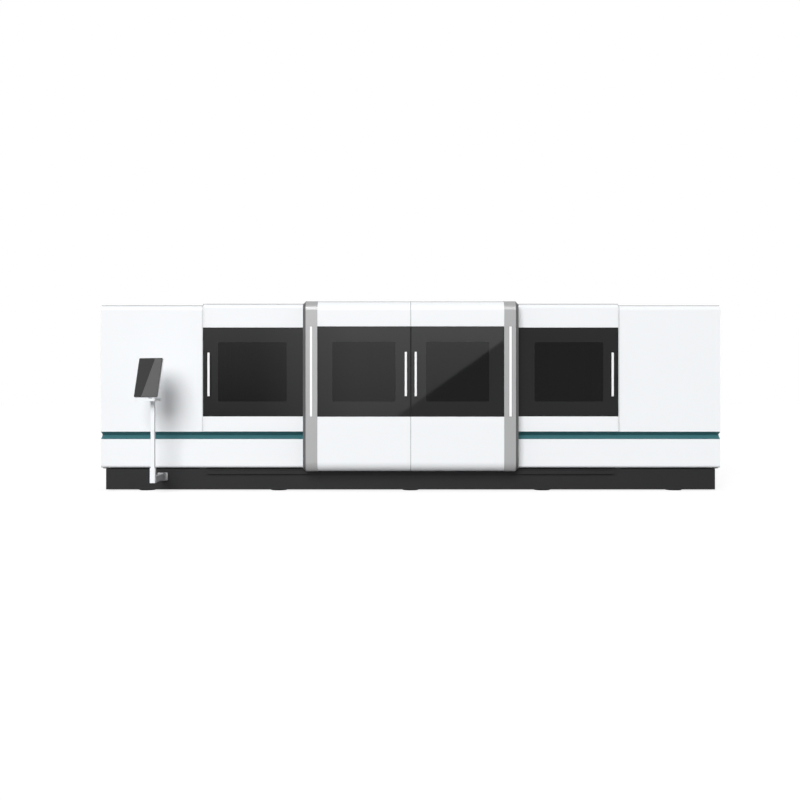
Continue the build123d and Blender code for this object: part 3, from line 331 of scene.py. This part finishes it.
coatWhite = {
    "colour": (0.905, 0.925, 0.945), "shade": (0.87, 0.885, 0.905), "shadeShare": 0.35,
    "cloud": 1.3, "peel": 420.0, "bump": (0.00012, 0.35), "roughness": (0.38, 0.46), "specular": 0.4,
}
# Painted shade along the rounded top edge of a cover or leaf: how tall the dark strip is, how far below the
# top it stops, how deep it reaches back, and its colour.
topEdgeShade = {"height": 0.008, "below": 0.0004, "depth": 0.12, "colour": (0.15, 0.15, 0.155)}


def whiteCoat(name, colour=coatWhite["colour"], shade=coatWhite["shade"], shadedTopOf=None):
    finish = Finish(name)
    cloud = finish.noise(coatWhite["cloud"], 2.0)
    peel = finish.noise(coatWhite["peel"], 1.0)
    coat = finish.blendColour(cloud * coatWhite["shadeShare"], colour, shade)
    if shadedTopOf:  # painted shade: a grey strip along the rounded top edge of this piece, for the shade the edge takes as it turns up
        low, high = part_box(shadedTopOf)
        z = finish.axis("Z")
        isTopShade = (z > high.z - topEdgeShade["height"]) * (z < high.z - topEdgeShade["below"])
        isTopShade = isTopShade * (finish.axis("Y") < low.y + topEdgeShade["depth"])
        coat = finish.blendColour(isTopShade, coat, topEdgeShade["colour"])
    return finish.done({
        "Base Color": coat,
        "Roughness": between(peel, *coatWhite["roughness"]),
        "Normal": finish.bump(peel, *coatWhite["bump"]),
        "Specular IOR Level": coatWhite["specular"],
    })


edgeBand = {
    "face": ((0.345, 0.345, 0.35), (0.41, 0.41, 0.415)),
    # painted shade: the outward chamfer is given a darker grey for the shade it takes, facing away from the
    # light
    "shadedBevel": (0.112, 0.112, 0.114),
    "shadedBevelFrom": 1.2345,  # painted shade on the outward chamfer, from this many metres from the middle of the machine
    "slot": (0.13, 0.13, 0.132),  # painted shade: a dark rim round the light strip, for the shade at the edge of its slot
    "slotRim": 0.004,
    "drawn": 60.0, "drawnStretch": (14.0, 14.0, 0.35), "drawnShare": 0.55,
    "flake": 900.0, "flakeShare": 0.45,
    "metallic": 0.2, "roughness": (0.3, 0.42), "bump": (0.0001, 0.3),
}


def silverPaint(name, mirrorSign):
    finish = Finish(name)
    drawn = finish.noise(edgeBand["drawn"], 3.0, finish.stretched(edgeBand["drawnStretch"]))
    flake = finish.noise(edgeBand["flake"], 1.0)
    x = finish.axis("X") * mirrorSign
    z = finish.axis("Z")
    tone = drawn * edgeBand["drawnShare"] + flake * edgeBand["flakeShare"]
    face = finish.blendColour(tone, *edgeBand["face"])
    low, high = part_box("centre_door_right_light_strip")
    rim = edgeBand["slotRim"]
    # painted shade round the light strip
    inStripShade = (x > low.x - rim) * (x < high.x + rim) * (z > low.z - rim) * (z < high.z + rim)
    face = finish.blendColour(inStripShade, face, edgeBand["slot"])
    return finish.done({
        # painted shade: darker grey on the outward chamfer
        "Base Color": finish.blendColour(x > edgeBand["shadedBevelFrom"], face, edgeBand["shadedBevel"]),
        "Metallic": edgeBand["metallic"],
        "Roughness": between(flake, *edgeBand["roughness"]),
        "Normal": finish.bump(drawn, *edgeBand["bump"]),
    })


grooveTeal = {
    "colours": ((0.05, 0.17, 0.19), (0.062, 0.19, 0.212)),
    "cloud": 2.2, "peel": 450.0, "roughness": (0.35, 0.45), "bump": (0.0001, 0.35),
}


def tealPaint():
    finish = Finish("teal_paint")
    cloud = finish.noise(grooveTeal["cloud"], 2.0)
    peel = finish.noise(grooveTeal["peel"], 1.0)
    return finish.done({
        "Base Color": finish.blendColour(cloud, *grooveTeal["colours"]),
        "Roughness": between(peel, *grooveTeal["roughness"]),
        "Normal": finish.bump(peel, *grooveTeal["bump"]),
    })


plinthBlack = {
    "colour": (0.011, 0.011, 0.0115), "lighter": 1.35,
    "roughness": 0.5, "roughnessSpread": 0.16, "specular": 0.2,
    "grain": 700.0, "cloud": 1.6, "bump": (0.0003, 0.4),
}


def blackPaint(name, colour=plinthBlack["colour"], roughness=plinthBlack["roughness"]):
    finish = Finish(name)
    grain = finish.noise(plinthBlack["grain"], 2.0)
    cloud = finish.noise(plinthBlack["cloud"], 2.0)
    lighter = tuple(part * plinthBlack["lighter"] for part in colour)
    return finish.done({
        "Base Color": finish.blendColour(cloud, colour, lighter),
        "Roughness": roughness + (grain - 0.5) * plinthBlack["roughnessSpread"],
        "Normal": finish.bump(grain, *plinthBlack["bump"]),
        "Specular IOR Level": plinthBlack["specular"],
    })


frameGrey = {
    "darker": 0.86, "darkerShare": 0.7,
    "peel": 380.0, "cloud": 2.0, "roughness": (0.39, 0.51), "bump": (0.00015, 0.4),
}


def greyPaint(name, colour):
    finish = Finish(name)
    peel = finish.noise(frameGrey["peel"], 1.0)
    cloud = finish.noise(frameGrey["cloud"], 3.0)
    darker = tuple(part * frameGrey["darker"] for part in colour)
    return finish.done({
        "Base Color": finish.blendColour(cloud * frameGrey["darkerShare"], colour, darker),
        "Roughness": between(peel, *frameGrey["roughness"]),
        "Normal": finish.bump(peel, *frameGrey["bump"]),
    })


castGrey = {
    "colours": ((0.15, 0.16, 0.17), (0.21, 0.22, 0.23)),
    "sand": 160.0, "cloud": 3.0, "roughness": (0.4, 0.6), "bump": (0.0008, 0.5),
}


def castIron():
    finish = Finish("cast_iron_paint")
    sand = finish.noise(castGrey["sand"], 4.0)
    cloud = finish.noise(castGrey["cloud"], 3.0)
    return finish.done({
        "Base Color": finish.blendColour(cloud, *castGrey["colours"]),
        "Roughness": between(sand, *castGrey["roughness"]),
        "Normal": finish.bump(sand, *castGrey["bump"]),
    })


railSteel = {
    "colours": ((0.46, 0.47, 0.48), (0.62, 0.63, 0.64)),
    "lay": 80.0, "layStretch": (0.3, 12.0, 12.0), "roughness": (0.2, 0.36), "bump": (0.00006, 0.4),
}
railHoles = {"pitch": 0.12, "radius": 0.009, "depth": 0.0005, "colour": (0.05, 0.05, 0.052)}


def groundSteel():  # rails, with the capped bolt holes along their tops
    finish = Finish("ground_steel")
    lay = finish.noise(railSteel["lay"], 3.0, finish.stretched(railSteel["layStretch"]))
    steel = finish.blendColour(lay, *railSteel["colours"])
    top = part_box("linear_rails")[1].z
    along = finish.axis("X") / railHoles["pitch"]
    offX = (along.apply("FRACT") - 0.5) * railHoles["pitch"]
    isHole = 0.0
    for railLow, railHigh in solidBoxes("linear_rails"):
        offY = finish.axis("Y") - (railLow.y + railHigh.y) / 2
        isHole = isHole + ((offX * offX + offY * offY) < railHoles["radius"] ** 2)
    onTop = finish.axis("Z") > top - railHoles["depth"]
    return finish.done({
        "Base Color": finish.blendColour(isHole * onTop, steel, railHoles["colour"]),
        "Metallic": 1.0,
        "Roughness": between(lay, *railSteel["roughness"]),
        "Normal": finish.bump(lay, *railSteel["bump"]),
    })


turnedRings = {
    "colours": ((0.44, 0.44, 0.45), (0.6, 0.6, 0.61)),
    "rings": 700.0, "alongChuck": 1.0, "alongQuill": 0.15,
    "roughness": (0.2, 0.36), "bump": (0.00005, 0.35),
}


def turnedSteel(name, node, along):  # fine rings round the work axis
    finish = Finish(name)
    low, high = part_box(node)
    middle = (low + high) / 2
    offY = finish.axis("Y") - middle.y
    offZ = finish.axis("Z") - middle.z
    radius = (offY * offY + offZ * offZ).apply("SQRT")
    ringPlace = finish.add(
        "ShaderNodeCombineXYZ", {}, {"X": radius, "Y": finish.axis("X") * along, "Z": 0.0}
    )
    rings = finish.noise(turnedRings["rings"], 2.0, ringPlace)
    return finish.done({
        "Base Color": finish.blendColour(rings, *turnedRings["colours"]),
        "Metallic": 1.0,
        "Roughness": between(rings, *turnedRings["roughness"]),
        "Normal": finish.bump(rings, *turnedRings["bump"]),
    })


satinMetal = {
    "aluminium": (0.6, 0.61, 0.62), "copper": (0.62, 0.36, 0.22), "darker": 0.85,
    "satin": 600.0, "cloud": 8.0, "roughness": (0.3, 0.42), "bump": (0.00006, 0.3),
}


def anodised(name, colour):
    finish = Finish(name)
    satin = finish.noise(satinMetal["satin"], 2.0)
    cloud = finish.noise(satinMetal["cloud"], 2.0)
    darker = tuple(part * satinMetal["darker"] for part in colour)
    return finish.done({
        "Base Color": finish.blendColour(cloud, colour, darker),
        "Metallic": 1.0,
        "Roughness": between(satin, *satinMetal["roughness"]),
        "Normal": finish.bump(satin, *satinMetal["bump"]),
    })


lightStrip = {
    "base": (0.3, 0.3, 0.3), "roughness": 0.35, "strength": 0.68,
    "glow": ((1.0, 1.0, 1.0), (0.96, 0.98, 1.0)), "coolShare": 0.3, "patches": 40.0,
}


def diffuserWhite():
    finish = Finish("opal_diffuser")
    along = finish.noise(lightStrip["patches"], 1.0)
    return finish.done({
        "Base Color": asColour(lightStrip["base"]),
        "Roughness": lightStrip["roughness"],
        "Emission Color": finish.blendColour(along * lightStrip["coolShare"], *lightStrip["glow"]),
        "Emission Strength": lightStrip["strength"],
    })


doorWindow = {
    "side": {"xFrom": 1.480, "xTo": 2.300, "zTop": 1.775},
    "centre": {"xFrom": 0.180, "xTo": 0.922, "zTop": 1.770},
    "zFrom": 1.067,
    "corner": 0.02,
}
doorGlass = {
    "border": (0.017, 0.017, 0.0175), "window": (0.004, 0.004, 0.0042),
    "seenThrough": 0.12, "smear": 3.0, "roughness": (0.02, 0.035), "specular": 0.5,
}


def tintedGlass(name, side, mirrorSign):  # lighter border round a darker window
    window = doorWindow[side]
    corner = doorWindow["corner"]
    finish = Finish(name)
    square = 0.0
    for value, fromPlace, toPlace in (
        (finish.axis("X") * mirrorSign, window["xFrom"], window["xTo"]),
        (finish.axis("Z"), doorWindow["zFrom"], window["zTop"]),
    ):
        offset = value - (fromPlace + toPlace) / 2
        beyond = offset.apply("ABSOLUTE") - ((toPlace - fromPlace) / 2 - corner)
        beyond = beyond.combine("MAXIMUM", beyond, 0.0)
        square = square + beyond * beyond
    inWindow = square < corner ** 2
    smear = finish.noise(doorGlass["smear"], 3.0)
    return finish.done({
        "Base Color": finish.blendColour(inWindow, doorGlass["border"], doorGlass["window"]),
        "Roughness": between(smear, *doorGlass["roughness"]),
        "Alpha": 1 - inWindow * doorGlass["seenThrough"],
        "Specular IOR Level": doorGlass["specular"],
    })


displayAndPaintedSheen = {
    "dark": ((0.013, 0.013, 0.0134), (0.018, 0.018, 0.0185)), "darkShare": 0.25,
    # colour of the painted reflection
    "light": (0.092, 0.092, 0.093),
    "slant": 0.32,  # painted reflection: the lighter half, to the right of this slant, stands in for a sheen on the screen
    "smear": 14.0, "roughness": (0.06, 0.1),
}


def displayGlass():
    finish = Finish("display_glass")
    smear = finish.noise(displayAndPaintedSheen["smear"], 3.0)
    low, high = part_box("console_display")
    middle = (low + high) / 2
    slant = (finish.axis("X") - middle.x) - (finish.axis("Z") - middle.z) * displayAndPaintedSheen["slant"]
    dark = finish.blendColour(smear * displayAndPaintedSheen["darkShare"], *displayAndPaintedSheen["dark"])
    return finish.done({
        # painted reflection: lighter base colour right of the slant
        "Base Color": finish.blendColour(slant > 0.0, dark, displayAndPaintedSheen["light"]),
        "Roughness": between(smear, *displayAndPaintedSheen["roughness"]),
    })


housingLook = {
    "front": (0.012, 0.012, 0.0125), "frontDepth": 0.004, "shadeShare": 0.3,
    "roughness": (0.34, 0.42), "bump": (0.0001, 0.3),
}


def screenHousing():  # white shell with a black front round the display
    finish = Finish("screen_housing_coat")
    display = nodes["console_display"].data
    face = max(display.polygons, key=lambda polygon: polygon.area * -polygon.normal.y)
    normal = face.normal
    depth = finish.add(
        "ShaderNodeVectorMath", {"operation": "DOT_PRODUCT"}, {0: finish.where(), 1: tuple(normal)}, "Value"
    )
    onFront = depth > face.center.dot(normal) - housingLook["frontDepth"]
    peel = finish.noise(coatWhite["peel"], 1.0)
    white = finish.blendColour(peel * housingLook["shadeShare"], coatWhite["colour"], coatWhite["shade"])
    return finish.done({
        "Base Color": finish.blendColour(onFront, white, housingLook["front"]),
        "Roughness": between(peel, *housingLook["roughness"]),
        "Normal": finish.bump(peel, *housingLook["bump"]),
    })


sealRubber = {
    "colours": ((0.006, 0.006, 0.006), (0.012, 0.012, 0.012)),
    "grain": 500.0, "roughness": (0.6, 0.8), "specular": 0.2,
}


def blackRubber():
    finish = Finish("black_rubber")
    grain = finish.noise(sealRubber["grain"], 2.0)
    return finish.done({
        "Base Color": finish.blendColour(grain, *sealRubber["colours"]),
        "Roughness": between(grain, *sealRubber["roughness"]),
        "Specular IOR Level": sealRubber["specular"],
    })


screwZinc = {"colours": ((0.5, 0.5, 0.5), (0.62, 0.62, 0.61)), "satin": 260.0, "roughness": (0.3, 0.44)}


def zincSteel():
    finish = Finish("zinc_steel")
    satin = finish.noise(screwZinc["satin"], 2.0)
    return finish.done({
        "Base Color": finish.blendColour(satin, *screwZinc["colours"]),
        "Metallic": 1.0,
        "Roughness": between(satin, *screwZinc["roughness"]),
    })


paints = {
    "handle": ((0.95, 0.955, 0.96), (0.93, 0.935, 0.94)),
    "frame": (0.24, 0.25, 0.26),
    "enamel": (0.5, 0.52, 0.54),
    "consoleArm": (0.42, 0.42, 0.43),
    "neck": ((0.03, 0.03, 0.03), 0.45),  # colour and roughness
    "lock": ((0.02, 0.02, 0.02), 0.4),
}
doors = ("side_door", "centre_door")


def dress(names, material):
    for name in names:
        mesh = nodes[name].data
        mesh.materials.clear()
        mesh.materials.append(material)


def onBothSides(pieces, ending=""):
    return [f"{piece}_{side}{ending}" for piece in pieces for side in ("left", "right")]


def dressMachine():
    cover = whiteCoat("cover_coat")
    dress(onBothSides(("end_panel", "lower_cover", "rear_door")), cover)
    dress(["roof_panel", "rear_panels"], cover)
    for piece, ending in (("outer_cover", ""), ("side_door", "_panel"), ("centre_door", "_panel")):
        # painted shade along the top edge of these pieces
        coat = whiteCoat(f"{piece}_coat", shadedTopOf=f"{piece}_left{ending}")
        dress(onBothSides((piece,), ending), coat)
    dress(onBothSides(("accent_groove",)), tealPaint())
    dress(["plinth", "foot_pads", "door_rails"], blackPaint("plinth_coat"))
    dress(onBothSides(doors, "_frame"), blackPaint("door_frame_coat"))
    for side, sign in (("left", -1.0), ("right", 1.0)):
        dress([f"side_door_{side}_glass"], tintedGlass(f"side_glass_{side}", "side", sign))
        dress([f"centre_door_{side}_glass"], tintedGlass(f"centre_glass_{side}", "centre", sign))
        dress([f"centre_door_{side}_band"], silverPaint(f"band_paint_{side}", sign))
        dress([f"centre_door_{side}_light_strip"], diffuserWhite())
    dress(onBothSides(doors, "_handle"), whiteCoat("handle_coat", *paints["handle"]))
    dress(["enclosure_frame", "cabinet_shell"], greyPaint("frame_coat", paints["frame"]))
    enamel = greyPaint("machine_enamel", paints["enamel"])
    dress(["bed", "column_carriage", "column_saddle", "cross_arm"], enamel)
    dress(["headstock", "tailstock"], castIron())
    dress(["linear_rails"], groundSteel())
    chuckSteel = turnedSteel("chuck_steel", "spindle_chuck", turnedRings["alongChuck"])
    dress(["spindle_chuck", "chuck_jaw_1", "chuck_jaw_2", "chuck_jaw_3"], chuckSteel)
    quillSteel = turnedSteel("quill_steel", "tailstock_quill", turnedRings["alongQuill"])
    dress(["tailstock_quill", "live_centre"], quillSteel)
    aluminium = anodised("anodised_aluminium", satinMetal["aluminium"])
    dress(["cladding_head", "extraction_collar"], aluminium)
    dress(["cladding_nozzle"], anodised("nozzle_copper", satinMetal["copper"]))
    dress(["console_bracket", "console_arm"], greyPaint("arm_coat", paints["consoleArm"]))
    dress(["console_post", "console_tray"], whiteCoat("console_coat"))
    dress(["console_screen_housing"], screenHousing())
    dress(["console_neck"], blackPaint("neck_plastic", *paints["neck"]))
    dress(["console_display"], displayGlass())
    print("finishes set")


# Pieces that ride on the CAD bodies

def meshObject(name, mesh, material, body):
    data = bpy.data.meshes.new(name)
    mesh.to_mesh(data)
    mesh.free()
    data.materials.append(material)
    piece = bpy.data.objects.new(name, data)
    bpy.context.scene.collection.objects.link(piece)
    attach(piece, body)


def joinRings(mesh, rings, closeLast=False):  # one strip of faces from each ring to the next
    for near, far in zip(rings, rings[1:]):
        count = len(near)
        for i in range(count):
            j = (i + 1) % count
            mesh.faces.new((near[i], near[j], far[j], far[i]))
    if closeLast:
        mesh.faces.new(rings[-1])


sealShape = {"outside": 0.0016, "inside": 0.0055, "height": 0.0016, "slope": 0.0012}


def addGlassSeals(rubber):  # black rubber round the door glass
    slope = sealShape["slope"]
    for door in onBothSides(doors):
        low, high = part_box(f"{door}_glass")
        mesh = bmesh.new()
        rings = []
        for grow, lift in (
            (sealShape["outside"], 0.0), (sealShape["outside"] - slope, sealShape["height"]),
            (slope - sealShape["inside"], sealShape["height"]), (-sealShape["inside"], 0.0),
        ):
            y = low.y - lift
            corners = [
                (low.x - grow, y, low.z - grow), (high.x + grow, y, low.z - grow),
                (high.x + grow, y, high.z + grow), (low.x - grow, y, high.z + grow),
            ]
            rings.append([mesh.verts.new(corner) for corner in corners])
        joinRings(mesh, rings)
        meshObject(f"glass_seal_{door}", mesh, rubber, door)


edgeSeal = {
    "centre_door": {"cap": (0.00015, 0.0021), "web": 0.0014},  # metres from the middle of the machine
    "side_door": {"cap": (2.4793, 2.4768), "web": 2.4786},
    "proud": 0.0007,
    "clear": 0.00005,  # between the lip and the leaf's skin
    "deep": 0.0028,
}


def outline(name):  # outer fold line of a door leaf, from its bottom to its top, as Y and Z
    data = nodes[name].data
    places = sorted({(round(vertex.co.z, 5), round(vertex.co.y, 5)) for vertex in data.vertices})
    skin = []
    for z, y in places:  # keeps the points that bulge to the front
        while len(skin) > 1:
            (z1, y1), (z2, y2) = skin[-2], skin[-1]
            if (z2 - z1) * (y - y1) - (y2 - y1) * (z - z1) > 0:
                break
            skin.pop()
        skin.append((z, y))
    return [Vector((y, z)) for z, y in skin]


def addEdgeSeals(rubber):  # rubber lips down the closing edges of the doors
    proud, clear, deep = (edgeSeal[key] for key in ("proud", "clear", "deep"))
    for door in ("centre_door", "side_door"):
        capFrom, capTo = edgeSeal[door]["cap"]
        web = edgeSeal[door]["web"]
        section = [
            (capFrom, -deep), (capFrom, proud), (capTo, proud), (capTo, clear), (web, clear), (web, -deep),
        ]
        for side, sign in (("left", -1.0), ("right", 1.0)):
            line = outline(f"{door}_{side}_panel")
            mesh = bmesh.new()
            rings = []
            for i, point in enumerate(line):
                along = (line[min(i + 1, len(line) - 1)] - line[max(i - 1, 0)]).normalized()
                out = Vector((-along.y, along.x))
                ring = []
                for x, lift in section:
                    place = point + out * lift
                    ring.append(mesh.verts.new((sign * x, place.x, place.y)))
                rings.append(ring)
            joinRings(mesh, rings, closeLast=True)
            mesh.faces.new(rings[0])
            bmesh.ops.recalc_face_normals(mesh, faces=mesh.faces)
            meshObject(f"edge_seal_{door}_{side}", mesh, rubber, f"{door}_{side}")


screwHead = {
    "steps": 12,
    "button": [(1.0, 0.0), (1.0, 0.35), (0.8, 0.8), (0.55, 1.0)],  # shares of radius and height
    "cylinder": [(1.0, 0.0), (1.0, 0.9), (0.9, 1.0)],
    "socket": 0.48,
    "socketFloor": 0.4,
}


def addScrewHead(mesh, place, outward, radius, height, shape):
    turn = Vector(outward).to_track_quat("Z", "Y").to_matrix().to_4x4()
    frameOfHead = Matrix.Translation(place) @ turn
    steps = screwHead["steps"]
    hexagon = []
    for i in range(steps):
        angle = 2 * math.pi * i / steps
        fold = angle % (math.pi / 3) - math.pi / 6
        hexagon.append(math.cos(math.pi / 6) / math.cos(fold))
    rings = []
    profile = [(reach, rise, False) for reach, rise in screwHead[shape]]
    profile += [(screwHead["socket"], 1.0, True), (screwHead["socket"], screwHead["socketFloor"], True)]
    for reach, rise, isSocket in profile:
        ring = []
        for i in range(steps):
            angle = 2 * math.pi * i / steps
            far = radius * reach * (hexagon[i] if isSocket else 1.0)
            point = Vector((far * math.cos(angle), far * math.sin(angle), height * rise))
            ring.append(mesh.verts.new(frameOfHead @ point))
        rings.append(ring)
    joinRings(mesh, rings, closeLast=True)


def spread(low, high, pitch):  # evenly spaced places, with both ends
    count = max(1, round((high - low) / pitch))
    return [low + (high - low) * i / count for i in range(count + 1)]


panelScrews = {
    "inset": 0.03, "insetFront": 0.06, "insetTop": 0.09, "pitch": 0.42,
    "radius": 0.0065, "height": 0.0035, "leastPanel": 0.12,  # narrower strips hold no screws
}


def addPanelScrews(zinc):  # round the edges of the end and rear panels
    inset, insetFront, insetTop, pitch, leastPanel = (
        panelScrews[key] for key in ("inset", "insetFront", "insetTop", "pitch", "leastPanel")
    )
    mesh = bmesh.new()

    def addHead(place, outward):
        addScrewHead(mesh, place, outward, panelScrews["radius"], panelScrews["height"], "button")

    for side, sign in (("left", -1.0), ("right", 1.0)):
        low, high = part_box(f"end_panel_{side}")
        x = low.x if sign < 0 else high.x
        for y in spread(low.y + insetFront, high.y - inset, pitch):
            addHead((x, y, low.z + inset), (sign, 0, 0))
            addHead((x, y, high.z - insetTop), (sign, 0, 0))
        for z in spread(low.z + inset, high.z - insetTop, pitch)[1:-1]:
            addHead((x, low.y + insetFront, z), (sign, 0, 0))
            addHead((x, high.y - inset, z), (sign, 0, 0))
    for low, high in solidBoxes("rear_panels"):
        if high.x - low.x < leastPanel or high.z - low.z < leastPanel:
            continue
        for z in spread(low.z + inset, high.z - inset, pitch):
            addHead((low.x + inset, high.y, z), (0, 1, 0))
            addHead((high.x - inset, high.y, z), (0, 1, 0))
    meshObject("panel_screws", mesh, zinc, "base")


doorLock = {
    "fromEdge": 0.045, "heights": (0.2, 0.5, 0.8),
    "radius": 0.015, "height": 0.006, "steps": 24,
    "profile": [(1.0, 0.0), (1.0, 0.7), (0.9, 1.0), (0.58, 1.0), (0.55, 0.5)],  # radius, height
    "bitWidth": 0.012, "bitThick": 0.003, "bitDepth": 0.004,
}


def addDoorLocks(black):  # quarter-turn locks on the leading rear door
    low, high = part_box("rear_door_right")
    mesh = bmesh.new()
    steps = doorLock["steps"]
    for share in doorLock["heights"]:
        centre = Vector((low.x + doorLock["fromEdge"], high.y, low.z + (high.z - low.z) * share))
        rings = []
        for reach, rise in doorLock["profile"]:
            ring = []
            for i in range(steps):
                angle = 2 * math.pi * i / steps
                x = doorLock["radius"] * reach * math.cos(angle)
                z = doorLock["radius"] * reach * math.sin(angle)
                ring.append(mesh.verts.new(centre + Vector((x, doorLock["height"] * rise, z))))
            rings.append(ring)
        joinRings(mesh, rings, closeLast=True)
        bit = bmesh.ops.create_cube(mesh, size=1.0)["verts"]
        scale = Matrix.Diagonal((doorLock["bitThick"], doorLock["bitDepth"], doorLock["bitWidth"], 1.0))
        lift = Vector((0, (doorLock["height"] + doorLock["bitDepth"]) / 2, 0))
        bmesh.ops.transform(mesh, matrix=Matrix.Translation(centre + lift) @ scale, verts=bit)
    meshObject("rear_door_locks", mesh, black, "rear_door_right")


chuckScrews = {"count": 6, "circle": 0.72, "radius": 0.011, "height": 0.007, "turn": 30.0}


def addChuckScrews(zinc):  # socket screws in the chuck's face, between the jaws
    low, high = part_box("spindle_chuck")
    centre = (low + high) / 2
    reach = (high.z - low.z) / 2 * chuckScrews["circle"]
    mesh = bmesh.new()
    for i in range(chuckScrews["count"]):
        angle = math.radians(chuckScrews["turn"] + 360.0 * i / chuckScrews["count"])
        place = (high.x, centre.y + reach * math.sin(angle), centre.z + reach * math.cos(angle))
        addScrewHead(mesh, place, (1, 0, 0), chuckScrews["radius"], chuckScrews["height"], "cylinder")
    meshObject("chuck_screws", mesh, zinc, "spindle")


def addPieces():
    rubber = blackRubber()
    zinc = zincSteel()
    addGlassSeals(rubber)
    addEdgeSeals(rubber)
    addPanelScrews(zinc)
    addDoorLocks(blackPaint("lock_black", *paints["lock"]))
    addChuckScrews(zinc)
    print("pieces added")


makeCamera()
makeStudio()
dressMachine()
addPieces()
